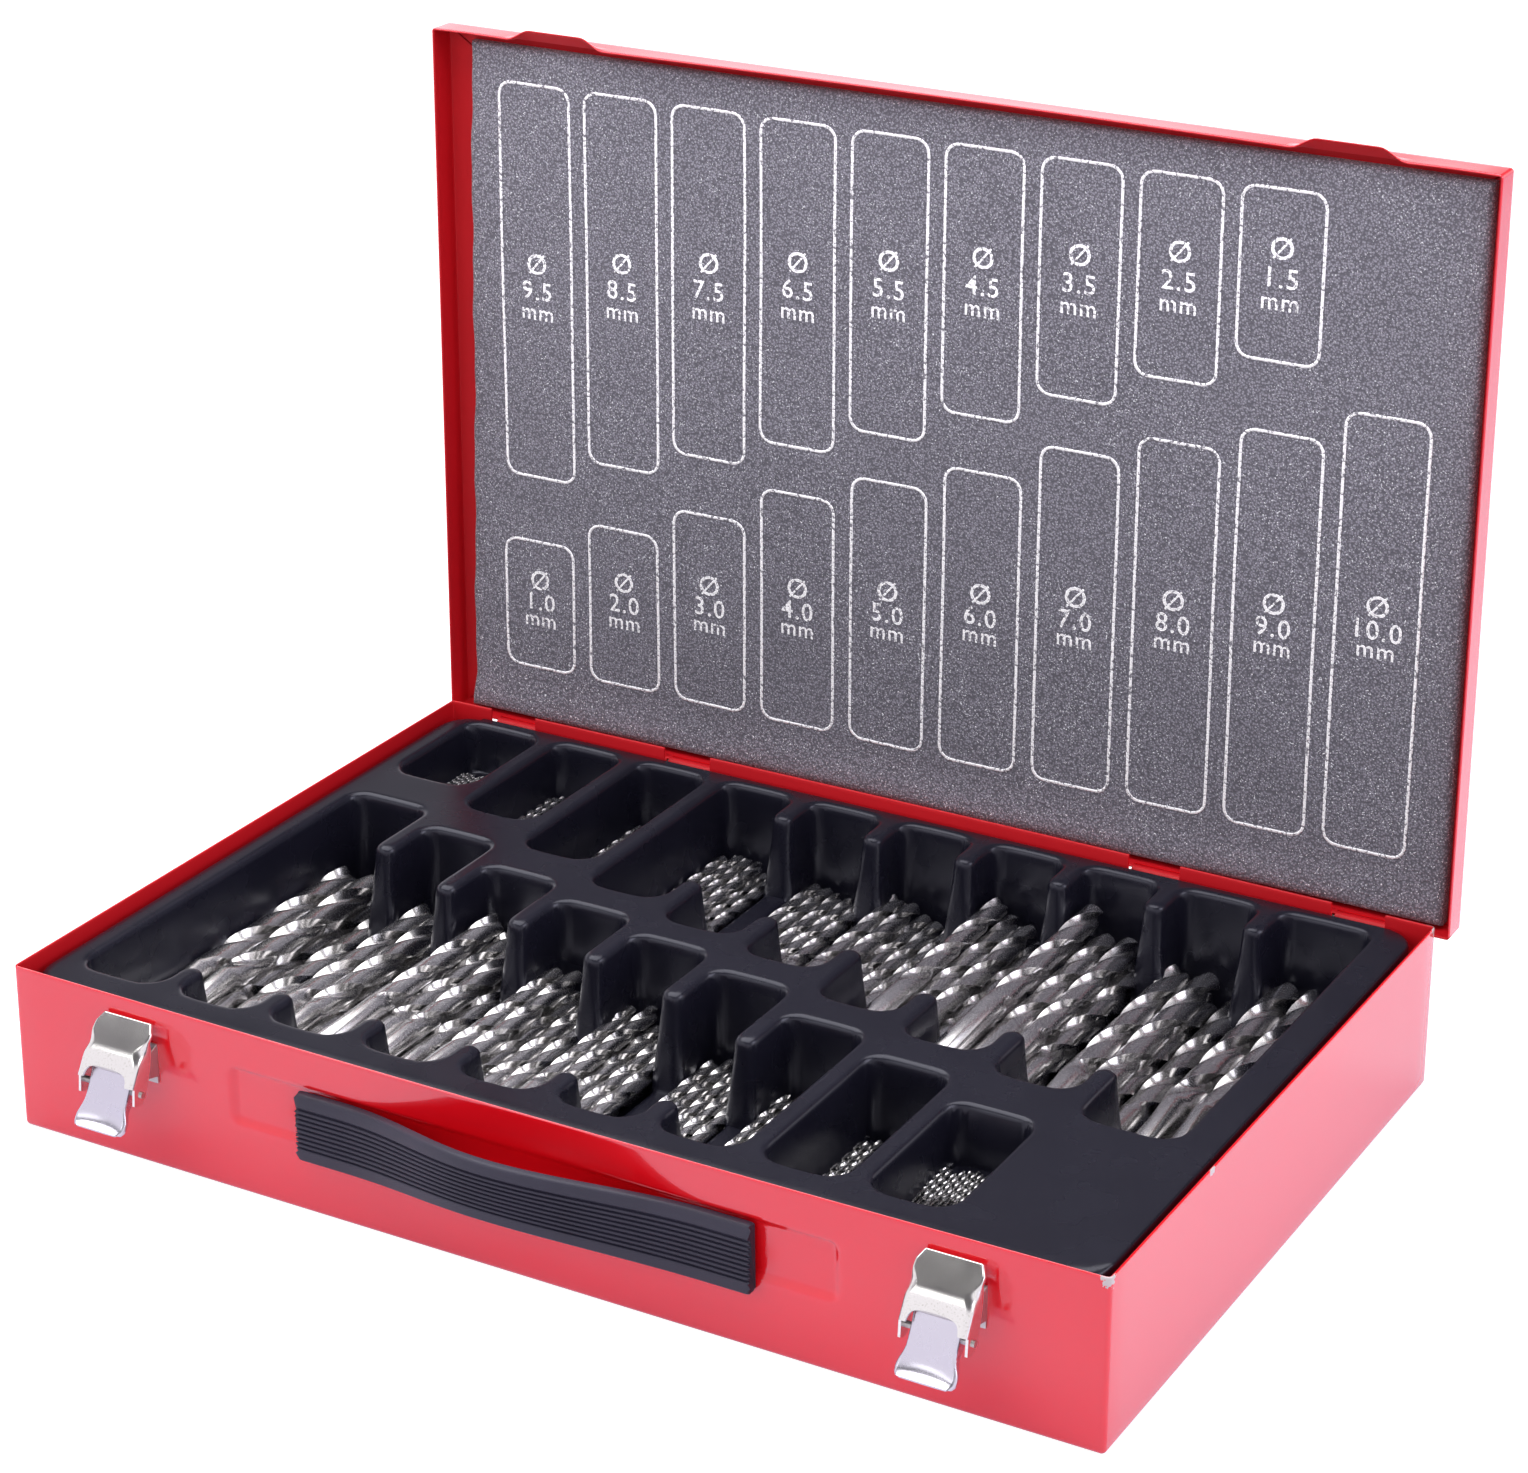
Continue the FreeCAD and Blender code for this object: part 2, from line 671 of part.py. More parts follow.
def handle_front(inset, end):
    """The strip's outline seen from the front: lower ends and a lifted middle."""
    low = []
    high = []
    steps = 2 * handle_curve_steps
    for step in range(steps + 1):
        x = -handle_flat_end + 2 * handle_flat_end * step / steps
        share = handle_share(x)
        centre = handle_end_centre + handle_lift * share
        height = handle_end_height + (handle_middle_height - handle_end_height) * share
        low.append(Vector(x, 0, centre - height / 2 + inset))
        high.append(Vector(x, 0, centre + height / 2 - inset))
    edges = []
    for row in (low, high):
        curve = Part.BSplineCurve()
        curve.interpolate(Points=row, InitialTangent=across, FinalTangent=across)
        edges.append(curve.toShape())
    low_left = Vector(-end, 0, low[0].z)
    low_right = Vector(end, 0, low[0].z)
    high_left = Vector(-end, 0, high[0].z)
    high_right = Vector(end, 0, high[0].z)
    loop = [edges[0], Part.makeLine(low[-1], low_right), Part.makeLine(low_right, high_right),
            Part.makeLine(high_right, high[-1]), edges[1], Part.makeLine(high[0], high_left),
            Part.makeLine(high_left, low_left), Part.makeLine(low_left, low[0])]
    return Part.Face(Part.Wire(Part.__sortEdges__(loop)))


def handle_strip(thickness, inset, end):
    """A strip that follows the handle's bow and its lift."""
    plan = handle_plan(thickness, end).extrude(Vector(0, 0, case_height))
    front = handle_front(inset, end)
    front.translate(Vector(0, -case_depth, 0))
    return plan.common(front.extrude(Vector(0, case_depth, 0)))


def handle_strap():
    """The steel strap inside the grip, with a hooked prong through the wall at each end."""
    strap = handle_strip(strap_thickness, strap_inset, handle_half_width - strap_end_inset)
    hook_front = -half_depth + recess_depth + sheet + handle_travel + running_gap
    hook_back = hook_front + strap_thickness
    for side in (-1, 1):
        centre = side * prong_spacing / 2
        prong = box(centre - prong_width / 2, centre + prong_width / 2, handle_end_y, hook_back,
                    prong_bottom, prong_bottom + prong_height)
        far = centre + side * (prong_width / 2 + prong_hook)
        hook = box(min(centre, far), max(centre, far), hook_front, hook_back,
                   prong_bottom, prong_bottom + prong_height)
        strap = strap.fuse(prong).fuse(hook)
    return strap


def handle_grip(strap):
    """The moulded grip that covers the strap."""
    return handle_strip(handle_thickness, 0, handle_half_width).cut(strap)


# ---------------------------------------------------------------- tray and drills

def column_span(column):
    """The left and right edges of one column's compartments."""
    centre = first_column + column_pitch * column
    left = centre - pocket_width / 2
    right = centre + pocket_width / 2
    if column == 0:
        left = left - first_pocket_extra
    if column == len(rear_drills) - 1:
        right = right + last_pocket_extra
    return (left, right)


def compartments():
    """Every compartment: its drills, its four edges, its floor, its row and its column."""
    found = []
    for column, drill in enumerate(rear_drills):
        left, right = column_span(column)
        length = drill[1] + drill[3]
        found.append({"drill": drill, "left": left, "right": right, "front": pocket_rear_edge - length,
                      "rear": pocket_rear_edge, "floor": drill[4], "row": "rear", "column": column})
    for column, drill in enumerate(front_drills):
        left, right = column_span(column)
        length = drill[1] + drill[3]
        found.append({"drill": drill, "left": left, "right": right, "front": pocket_front_edge,
                      "rear": pocket_front_edge + length, "floor": drill[4], "row": "front",
                      "column": column})
    return found


def finger_cuts():
    """The cut-outs in the ribs: (left, right, front, rear, ridge top) of each."""
    cuts = []
    rooms = compartments()
    for row, ribs in (("front", front_finger_ribs), ("rear", rear_finger_ribs)):
        line = [room for room in rooms if room["row"] == row]
        for rib in ribs:
            one = line[rib]
            two = line[rib + 1]
            ridge = max(one["floor"], two["floor"]) + ridge_height
            if row == "front":
                front = pocket_front_edge + front_stub
                rear = min(one["rear"], two["rear"]) - front_head
            else:
                front = max(one["front"], two["front"]) + rear_stub
                rear = pocket_rear_edge - rear_head
            cuts.append((one["right"], two["left"], front, rear, ridge))
    return cuts


def formed_tray():
    """The formed tray: a deck with a skirt down to the base, sunk compartments and finger cut-outs."""
    deck = rounded_box(tray_left, tray_right, tray_front, tray_rear, tray_top - tray_sheet, tray_top,
                       tray_corner_radius)
    skirt_left = tray_left + tray_side_step
    skirt_right = tray_right - tray_side_step
    skirt_front = tray_front + tray_front_step
    skirt_rear = tray_rear - tray_rear_step
    skirt_radius = tray_corner_radius - tray_side_step
    skirt = rounded_box(skirt_left, skirt_right, skirt_front, skirt_rear, sheet, tray_top - tray_sheet,
                        skirt_radius)
    skirt = skirt.cut(rounded_box(skirt_left + tray_sheet, skirt_right - tray_sheet,
                                  skirt_front + tray_sheet, skirt_rear - tray_sheet,
                                  sheet, tray_top - tray_sheet, skirt_radius - tray_sheet))
    shells = [skirt]
    hollows = []
    for room in compartments():
        shells.append(rounded_box(room["left"] - tray_sheet, room["right"] + tray_sheet,
                                  room["front"] - tray_sheet, room["rear"] + tray_sheet,
                                  room["floor"] - tray_sheet, tray_top, pocket_corner_radius + tray_sheet))
        hollows.append(rounded_box(room["left"], room["right"], room["front"], room["rear"],
                                   room["floor"], tray_top + tray_sheet, pocket_corner_radius))
    for left, right, front, rear, ridge in finger_cuts():
        shells.append(box(left, right, front - tray_sheet, rear + tray_sheet, ridge - tray_sheet, tray_top))
        hollows.append(box(left - tray_sheet, right + tray_sheet, front, rear, ridge,
                           tray_top + tray_sheet))
    tray = deck.multiFuse(shells)
    return tray.cut(Part.makeCompound(hollows))


def twist_drill(diameter, length):
    """A drill as a round bar along Y with its point at the back."""
    radius = diameter / 2
    point = radius / math.tan(math.radians(point_angle / 2))
    bar = Part.makeCylinder(radius, length - point, Vector(0, 0, 0), Vector(0, 1, 0))
    cone = Part.makeCone(radius, 0, point, Vector(0, length - point, 0), Vector(0, 1, 0))
    return bar.fuse(cone)


def drill_places(room):
    """Where the drills of one compartment lie: (x, shank end, z) of each, piled in layers."""
    diameter, length, count, spare, floor = room["drill"]
    pitch = diameter + drill_gap
    width = room["right"] - room["left"] - 2 * drill_gap
    per_layer = max(1, min(count, int((width + drill_gap) / pitch)))
    slack = width - (per_layer * pitch - drill_gap)
    shift = min(slack, pitch / 2)
    rise = math.sqrt(pitch * pitch - shift * shift)
    shank = room["rear"] - spare * drill_tip_room - length
    places = []
    for number in range(count):
        layer = number // per_layer
        place = number % per_layer
        x = room["left"] + drill_gap + diameter / 2 + place * pitch + (layer % 2) * shift
        z = floor + drill_gap + diameter / 2 + layer * rise
        places.append((x, shank, z))
    return places


def size_name(diameter):
    """A drill's size as words for its node, such as 09_5."""
    return "%02d_%d" % (int(diameter), round(10 * (diameter - int(diameter))))


# ---------------------------------------------------------------- write every piece

write("base_shell", [case_base()])
write("lid_shell", [case_lid()])
write("lid_foam", [lid_pad()])
write("tray", [formed_tray()])

for name, hinge in zip(("left", "right"), hinge_centres()):
    write("hinge_wire_" + name, [hinge_wire(hinge)])

bracket = latch_bracket()
lever = latch_lever()
claw = latch_claw()
for name, centre in (("left", -latch_spacing / 2), ("right", latch_spacing / 2)):
    write("latch_bracket_" + name, [shifted(bracket, centre)])
    write("latch_rivets_" + name, [latch_rivet(place) for place in rivet_places(centre)])
    write("latch_lever_" + name, [shifted(lever, centre)])
    write("latch_claw_" + name, [shifted(claw, centre)])
    write("latch_lever_pin_" + name, [shifted(lever_pin(), centre)])
    write("latch_claw_pin_" + name, [shifted(claw_pin(), centre)])

strap = handle_strap()
write("handle_strap", [strap])
write("handle_grip", [handle_grip(strap)])

for room in compartments():
    pattern = twist_drill(room["drill"][0], room["drill"][1])
    drills = []
    for place in drill_places(room):
        drill = pattern.copy()
        drill.translate(Vector(*place))
        drills.append(drill)
    write("drills_" + size_name(room["drill"][0]), drills)
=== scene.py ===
# %% [markdown]
# # A hinged case of twist drills
# The real object is a flat red case, folded from thin sheet metal. Its base holds a black formed tray,
# its lid is lined with printed foam, and two claw latches and a moulded handle sit on its front wall.
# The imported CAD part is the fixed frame: every place below is read from it, so each new piece lands
# exactly where the solid that it dresses already is.

# %% Load the frame
import math
import random

import bmesh
import bpy
import numpy as np
from mathutils import Matrix, Vector


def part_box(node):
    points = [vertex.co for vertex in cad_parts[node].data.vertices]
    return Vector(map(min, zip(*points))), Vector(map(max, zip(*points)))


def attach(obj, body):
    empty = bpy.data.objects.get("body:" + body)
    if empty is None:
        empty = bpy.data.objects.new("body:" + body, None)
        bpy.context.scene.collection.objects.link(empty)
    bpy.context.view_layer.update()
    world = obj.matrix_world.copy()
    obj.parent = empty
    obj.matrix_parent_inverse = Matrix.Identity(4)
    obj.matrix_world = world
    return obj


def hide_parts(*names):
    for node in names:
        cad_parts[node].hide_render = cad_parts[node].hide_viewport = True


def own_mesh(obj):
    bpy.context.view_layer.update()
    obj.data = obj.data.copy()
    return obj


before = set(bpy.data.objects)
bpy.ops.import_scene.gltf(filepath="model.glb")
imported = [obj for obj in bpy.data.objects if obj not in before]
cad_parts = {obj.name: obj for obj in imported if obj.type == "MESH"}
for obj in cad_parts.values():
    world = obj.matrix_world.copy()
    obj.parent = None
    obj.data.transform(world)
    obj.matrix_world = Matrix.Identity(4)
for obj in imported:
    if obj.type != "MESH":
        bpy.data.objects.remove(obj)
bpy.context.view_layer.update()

print("nodes in the frame:", len(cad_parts))

# %% [markdown]
# ## Sizes
# A maker's drawing gives every size once. The large ones come from the frame's boxes, in metres, and the
# small ones, such as the sheet's thickness, are named here in millimetres.

# %% Sizes read from the frame
MM = 0.001
base_low, base_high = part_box("base_shell")
lid_low, lid_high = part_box("lid_shell")
foam_low, foam_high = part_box("lid_foam")
tray_low, tray_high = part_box("tray")
grip_low, grip_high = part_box("handle_grip")
wire_low, wire_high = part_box("hinge_wire_left")

SHEET = 0.8 * MM
half_width = base_high.x
half_depth = -base_low.y
case_height = base_high.z
hinge_y = (wire_low.y + wire_high.y) / 2
hinge_z = (wire_low.z + wire_high.z) / 2
overhang = lid_high.x - half_width
panel_outer = hinge_z + lid_high.y - hinge_y
print("base:", [round(v, 4) for v in (half_width, half_depth, case_height)])
print("hinge line:", round(hinge_y, 4), round(hinge_z, 4))

# %% Small sizes of the folded case
CORNER_RADIUS = 1.6 * MM
FOOT_RADIUS = 1.6 * MM
SKIRT_DEPTH = 10.5 * MM
HEM_HEIGHT = 3.0 * MM
KNUCKLE_RADIUS = 2.15 * MM
KNUCKLE_SPACING = 70 * MM
KNUCKLE_NOTCH = 18 * MM
BASE_KNUCKLE = 17.94 * MM
LID_KNUCKLE = 50 * MM
CATCH_REACH = 3.7 * MM
CATCH_FLAT = 19.3 * MM
CATCH_FOOT = 37 * MM
free_edge = panel_outer - SKIRT_DEPTH
latch_x = (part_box("latch_bracket_right")[0].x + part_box("latch_bracket_right")[1].x) / 2
hinge_centres = [(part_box(name)[0].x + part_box(name)[1].x) / 2 for name in ("hinge_wire_left", "hinge_wire_right")]
print("latches at", round(latch_x, 4), "hinges at", [round(x, 4) for x in hinge_centres])

# %% [markdown]
# ## Helpers
# Most pieces here are sheet metal or formed plastic, so they are lofts: closed rings of points, one after
# another, with quads between them. These few helpers build such meshes and tidy their normals.

# %% Mesh helpers
def add_piece(name, vertices, faces, material, angle=40):
    """Make one mesh object at the origin, shaded smooth except at folds sharper than angle."""
    mesh = bpy.data.meshes.new(name)
    mesh.from_pydata([tuple(v) for v in vertices], [], faces)
    work = bmesh.new()
    work.from_mesh(mesh)
    bmesh.ops.remove_doubles(work, verts=work.verts, dist=1e-6)
    bmesh.ops.dissolve_degenerate(work, edges=work.edges, dist=1e-6)
    bmesh.ops.recalc_face_normals(work, faces=work.faces)
    work.to_mesh(mesh)
    work.free()
    mesh.shade_smooth()
    mesh.set_sharp_from_angle(angle=math.radians(angle))
    mesh.materials.append(material)
    obj = bpy.data.objects.new(name, mesh)
    bpy.context.scene.collection.objects.link(obj)
    print(name, len(mesh.polygons), "faces")
    return obj


def loft(rings, cap_start=True, cap_end=True):
    """Quads between closed rings of equally many points, with a flat cap at each end."""
    count = len(rings[0])
    vertices = [point for ring in rings for point in ring]
    faces = []
    for row in range(len(rings) - 1):
        for k in range(count):
            n = (k + 1) % count
            faces.append((row * count + k, row * count + n, (row + 1) * count + n, (row + 1) * count + k))
    if cap_start:
        faces.append(tuple(reversed(range(count))))
    if cap_end:
        faces.append(tuple(range((len(rings) - 1) * count, len(rings) * count)))
    return vertices, faces


def shell_loft(rings):
    """A loft whose end panels are a level border round a fan of triangles, so that they shade evenly."""
    first, last = ([(x * 0.97, y * 0.97, z) for x, y, z in ring] for ring in (rings[0], rings[-1]))
    count = len(first)
    vertices, faces = loft([first, *rings, last], False, False)
    for start, turn in ((0, -1), (len(vertices) - count, 1)):
        middle = len(vertices)
        vertices.append((0.0, 0.0, vertices[start][2]))
        faces.extend((start + k, start + (k + 1) % count, middle)[::turn] for k in range(count))
    return vertices, faces


def joined(parts):
    """Several (vertices, faces) pairs as one."""
    vertices, faces = [], []
    for more_vertices, more_faces in parts:
        start = len(vertices)
        vertices.extend(more_vertices)
        faces.extend(tuple(start + i for i in face) for face in more_faces)
    return vertices, faces


def smoothstep(t):
    """0 below 0, 1 above 1 and an S-curve between."""
    t = min(1.0, max(0.0, t))
    return t * t * (3 - 2 * t)


def spaced(low, high, step):
    """Evenly spaced values from low to high, about step apart."""
    count = max(1, round((high - low) / step))
    return [low + (high - low) * k / count for k in range(count + 1)]


# %% [markdown]
# A strip of sheet that bends round a wire or over a fold is drawn as a path in the (y, z) plane. Offsetting
# the path to both sides gives the sheet's two faces, and drawing that outline out along X gives the solid.

# %% Bent strips
def arc(centre, radius, start, end, steps):
    """Points on a circle in the (y, z) plane, with the angles in degrees."""
    points = []
    for k in range(steps + 1):
        a = math.radians(start + (end - start) * k / steps)
        points.append((centre[0] + radius * math.cos(a), centre[1] + radius * math.sin(a)))
    return points


def bent_strip(path, thickness, x0, x1):
    """A strip of sheet that follows a path of (y, z) points between x0 and x1."""
    left, right = [], []
    for k, (y, z) in enumerate(path):
        before = path[max(0, k - 1)]
        after = path[min(len(path) - 1, k + 1)]
        dy, dz = after[0] - before[0], after[1] - before[1]
        size = math.hypot(dy, dz)
        oy, oz = -dz / size * thickness / 2, dy / size * thickness / 2
        left.append((y + oy, z + oz))
        right.append((y - oy, z - oz))
    outline = left + right[::-1]
    rings = [[(x, y, z) for y, z in outline] for x in (x0, x1)]
    return loft(rings)


def opened(vertices):
    """Turn a closed lid's points up to the right angle at which it stands."""
    return [(x, hinge_y + z - hinge_z, hinge_z - y + hinge_y) for x, y, z in vertices]


# %% [markdown]
# ## Shader effects that several finishes share
# Lacquer, plastic and steel all have fine unevenness, and paint and plating both carry small scuffs.
# Each effect is a node group with named inputs, built once and placed in the materials with other values.

# %% Group helper
def new_group(name, inputs, outputs):
    """A shader node group with its sockets and its two end nodes."""
    group = bpy.data.node_groups.new(name, "ShaderNodeTree")
    for label, kind, value in inputs:
        socket = group.interface.new_socket(label, in_out="INPUT", socket_type=kind)
        if value is not None:
            socket.default_value = value
    for label, kind in outputs:
        group.interface.new_socket(label, in_out="OUTPUT", socket_type=kind)
    return group, group.nodes.new("NodeGroupInput"), group.nodes.new("NodeGroupOutput")


def math_node(tree, operation, a, b=None, clamp=False):
    """A Math node whose inputs are sockets or numbers; returns its output."""
    node = tree.nodes.new("ShaderNodeMath")
    node.operation = operation
    node.use_clamp = clamp
    for place, value in enumerate((a, b)):
        if value is None:
            continue
        if isinstance(value, (int, float)):
            node.inputs[place].default_value = value
        else:
            tree.links.new(value, node.inputs[place])
    return node.outputs[0]


def noise(tree, vector, scale, detail=3.0, roughness=0.5):
    """A noise texture's value over a vector socket, with its scale given as a number or a socket."""
    node = tree.nodes.new("ShaderNodeTexNoise")
    node.inputs["Detail"].default_value = detail
    node.inputs["Roughness"].default_value = roughness
    tree.links.new(vector, node.inputs["Vector"])
    if isinstance(scale, (int, float)):
        node.inputs["Scale"].default_value = scale
    else:
        tree.links.new(scale, node.inputs["Scale"])
    return node.outputs["Fac"]


def ramp(tree, value, stops):
    """A colour ramp over a value socket; stops are (position, grey or colour)."""
    node = tree.nodes.new("ShaderNodeValToRGB")
    while len(node.color_ramp.elements) < len(stops):
        node.color_ramp.elements.new(0.5)
    for element, (position, colour) in zip(node.color_ramp.elements, stops):
        element.position = position
        if isinstance(colour, (int, float)):
            colour = (colour, colour, colour)
        element.color = (*colour, 1.0)
    tree.links.new(value, node.inputs["Fac"])
    return node.outputs["Color"]


def mix_colour(tree, factor, a, b):
    """Mix two colours, each a socket or an (r, g, b) value."""
    node = tree.nodes.new("ShaderNodeMix")
    node.data_type = "RGBA"
    for place, value in ((0, factor), (6, a), (7, b)):
        if isinstance(value, tuple):
            node.inputs[place].default_value = (*value, 1.0)
        elif isinstance(value, (int, float)):
            node.inputs[place].default_value = value
        else:
            tree.links.new(value, node.inputs[place])
    return node.outputs[2]


# %% The grain group: fine unevenness for a bump and for roughness
grain, grain_in, grain_out = new_group(
    "Grain", (("Vector", "NodeSocketVector", None), ("Scale", "NodeSocketFloat", 900.0)),
    (("Height", "NodeSocketFloat"), ("Variation", "NodeSocketFloat")))
grain.links.new(noise(grain, grain_in.outputs["Vector"], grain_in.outputs["Scale"], 4.0, 0.6),
                grain_out.inputs["Height"])
broad_scale = math_node(grain, "MULTIPLY", grain_in.outputs["Scale"], 0.03)
grain.links.new(noise(grain, grain_in.outputs["Vector"], broad_scale, 3.0, 0.55),
                grain_out.inputs["Variation"])
print("group:", grain.name)

# %% The chip group: a ragged spot round one place, where the finish has come away
chip, chip_in, chip_out = new_group(
    "Chip", (("Vector", "NodeSocketVector", None), ("Place", "NodeSocketVector", (0.0, 0.0, 0.0)),
             ("Reach", "NodeSocketFloat", 0.004)), (("Mask", "NodeSocketFloat"),))
apart = chip.nodes.new("ShaderNodeVectorMath")
apart.operation = "DISTANCE"
chip.links.new(chip_in.outputs["Vector"], apart.inputs[0])
chip.links.new(chip_in.outputs["Place"], apart.inputs[1])
closeness = math_node(chip, "DIVIDE", apart.outputs["Value"], chip_in.outputs["Reach"])
ragged = math_node(chip, "MULTIPLY", noise(chip, chip_in.outputs["Vector"], 900.0, 3.0, 0.6), 1.6)
spot = math_node(chip, "ADD", closeness, ragged)
chip.links.new(math_node(chip, "LESS_THAN", spot, 1.5), chip_out.inputs["Mask"])
print("group:", chip.name)


# %% Material helper
def new_material(name, **values):
    """A material with one Principled shader, whose plain values are set on its own sockets."""
    material = bpy.data.materials.new(name)
    material.use_nodes = True
    tree = material.node_tree
    shader = tree.nodes["Principled BSDF"]
    for label, value in values.items():
        socket = shader.inputs[label.replace("_", " ")]
        socket.default_value = (*value, 1.0) if isinstance(value, tuple) else value
    coordinates = tree.nodes.new("ShaderNodeTexCoord").outputs["Object"]
    return material, tree, shader, coordinates


def place_group(tree, group, vector, **values):
    """Put a node group in a material, over a vector, with its own values."""
    node = tree.nodes.new("ShaderNodeGroup")
    node.node_tree = group
    tree.links.new(vector, node.inputs["Vector"])
    for label, value in values.items():
        node.inputs[label].default_value = value
    return node


def add_bump(tree, shader, height, strength, distance):
    """Feed a height socket to the shader's normal."""
    bump = tree.nodes.new("ShaderNodeBump")
    bump.inputs["Strength"].default_value = strength
    bump.inputs["Distance"].default_value = distance
    tree.links.new(height, bump.inputs["Height"])
    tree.links.new(bump.outputs["Normal"], shader.inputs["Normal"])


# %% [markdown]
# ## Red lacquer
# The case is sprayed with a glossy stoving lacquer. It is saturated where it mirrors something dark and
# pales to salmon where it mirrors the bright surroundings, so most of its look is reflection, not colour.
# A slight orange-peel bump breaks the mirror image up, and the corners that get knocked show bare primer.

# %% Make the lacquer
RED = (0.93, 0.0042, 0.0105)
PRIMER = (0.62, 0.58, 0.56)
red_paint, tree, shader, where = new_material(
    "red lacquer", Base_Color=RED, Roughness=0.2, IOR=1.62, Specular_Tint=(0.95, 0.78, 1.0), Coat_Weight=1.0,
    Coat_Roughness=0.07, Coat_IOR=1.52, Coat_Tint=(1.0, 0.97, 1.0))
peel = place_group(tree, grain, where, Scale=330.0)
shade = mix_colour(tree, peel.outputs["Variation"], tuple(c * 0.93 for c in RED), tuple(c * 1.05 for c in RED))
front_chip = place_group(tree, chip, where, Place=(half_width, -half_depth, case_height), Reach=4.2 * MM)
rear_chip = place_group(tree, chip, where, Place=(half_width, half_depth, case_height), Reach=5.0 * MM)
side_chip = place_group(tree, chip, where, Place=(half_width, -half_depth + 66 * MM, case_height), Reach=2.6 * MM)
bare = math_node(tree, "ADD", front_chip.outputs["Mask"], rear_chip.outputs["Mask"], clamp=True)
bare = math_node(tree, "ADD", bare, side_chip.outputs["Mask"], clamp=True)
tree.links.new(mix_colour(tree, bare, shade, PRIMER), shader.inputs["Base Color"])
tree.links.new(math_node(tree, "MULTIPLY_ADD", peel.outputs["Variation"], 0.12), shader.inputs["Roughness"])
tree.nodes[-1].inputs[2].default_value = 0.10
add_bump(tree, shader, peel.outputs["Height"], 0.05, 0.0002)
# Painted shade: on the front wall behind the handle the coat and the gloss fade out, so the wall mirrors nothing bright
# there and stays a deep red. This stands in for the handle's shade and dark reflection.
separate = tree.nodes.new("ShaderNodeSeparateXYZ")
tree.links.new(where, separate.inputs[0])
across = math_node(tree, "MULTIPLY", separate.outputs["X"], 1 / (84 * MM))
upward = math_node(tree, "MULTIPLY_ADD", separate.outputs["Z"], 1 / (15 * MM))
upward.node.inputs[2].default_value = -2.1
reach = math_node(tree, "ADD", math_node(tree, "MULTIPLY", across, across), math_node(tree, "MULTIPLY", upward, upward))
ahead = math_node(tree, "LESS_THAN", separate.outputs["Y"], -half_depth + 4 * MM)
painted_shade_behind_handle = math_node(tree, "MULTIPLY", ramp(tree, reach, ((0.62, 1.0), (1.0, 0.0))), ahead)
gloss_outside_painted_shade = math_node(tree, "SUBTRACT", 1.0, painted_shade_behind_handle)
tree.links.new(gloss_outside_painted_shade, shader.inputs["Coat Weight"])
tree.links.new(math_node(tree, "MULTIPLY", gloss_outside_painted_shade, 0.5), shader.inputs["Specular IOR Level"])

# %% [markdown]
# The faces that look into the case get a darker, duller, fully saturated red. Its darkness is painted shade:
# it stands in for the shade inside the case and the dark that these faces mirror.

# %% Make the inside red, whose darkness is painted shade
SHADED_INSIDE_RED = (0.60, 0.0045, 0.011)
red_inside_painted_shade, tree, shader, where = new_material(
    "red inside with painted shade", Base_Color=SHADED_INSIDE_RED, Roughness=0.5, IOR=1.4)
inside_grain = place_group(tree, grain, where, Scale=420.0)
tree.links.new(mix_colour(tree, inside_grain.outputs["Variation"], tuple(c * 0.9 for c in SHADED_INSIDE_RED),
                          tuple(c * 1.08 for c in SHADED_INSIDE_RED)), shader.inputs["Base Color"])
add_bump(tree, shader, inside_grain.outputs["Height"], 0.08, 0.0002)


def shade_inward_faces(obj, centre):
    """Give the faces that look at the case's middle, and the hinge's curls, the darker red of painted shade."""
    obj.data.materials.append(red_inside_painted_shade)
    for face in obj.data.polygons:
        from_hinge = math.hypot(face.center.y - hinge_y, face.center.z - hinge_z)
        if face.normal.dot(centre - face.center) > 0 or from_hinge < KNUCKLE_RADIUS + 0.5 * MM:
            face.material_index = 1


print("lacquer ready")

# %% [markdown]
# ## Black tray plastic
# The tray is vacuum-formed from a thin black sheet. It is satin rather than glossy, and its pulled
# corners catch a soft light. A very fine grain keeps it from looking like paint.

# %% Make the tray plastic
TRAY_BLACK = (0.0072, 0.0070, 0.0132)
tray_plastic, tree, shader, where = new_material(
    "black formed plastic", Base_Color=TRAY_BLACK, Roughness=0.3, IOR=1.48, Specular_Tint=(0.86, 0.88, 1.0))
mould = place_group(tree, grain, where, Scale=1500.0)
tree.links.new(mix_colour(tree, mould.outputs["Variation"], tuple(c * 0.8 for c in TRAY_BLACK),
                          tuple(c * 1.3 for c in TRAY_BLACK)), shader.inputs["Base Color"])
tree.links.new(math_node(tree, "MULTIPLY_ADD", mould.outputs["Variation"], 0.10), shader.inputs["Roughness"])
tree.nodes[-1].inputs[2].default_value = 0.22
add_bump(tree, shader, mould.outputs["Height"], 0.12, 0.0001)

# %% [markdown]
# ## Handle plastic
# The grip is a softer, bluish black plastic with a dull bloom.

# %% Make the grip plastic
GRIP_BLACK = (0.027, 0.025, 0.044)
grip_plastic, tree, shader, where = new_material(
    "grip plastic", Base_Color=GRIP_BLACK, Roughness=0.5, IOR=1.46)
bloom = place_group(tree, grain, where, Scale=1100.0)
tree.links.new(mix_colour(tree, bloom.outputs["Variation"], tuple(c * 0.75 for c in GRIP_BLACK),
                          tuple(c * 1.35 for c in GRIP_BLACK)), shader.inputs["Base Color"])
add_bump(tree, shader, bloom.outputs["Height"], 0.25, 0.0002)

# %% [markdown]
# ## Drill steel
# The drills are ground bright. Grinding leaves fine lines round each land, and the flutes stay darker,
# which the mesh shows by itself because it is hollow there. The steel is a plain metal with some
# unevenness in its roughness.

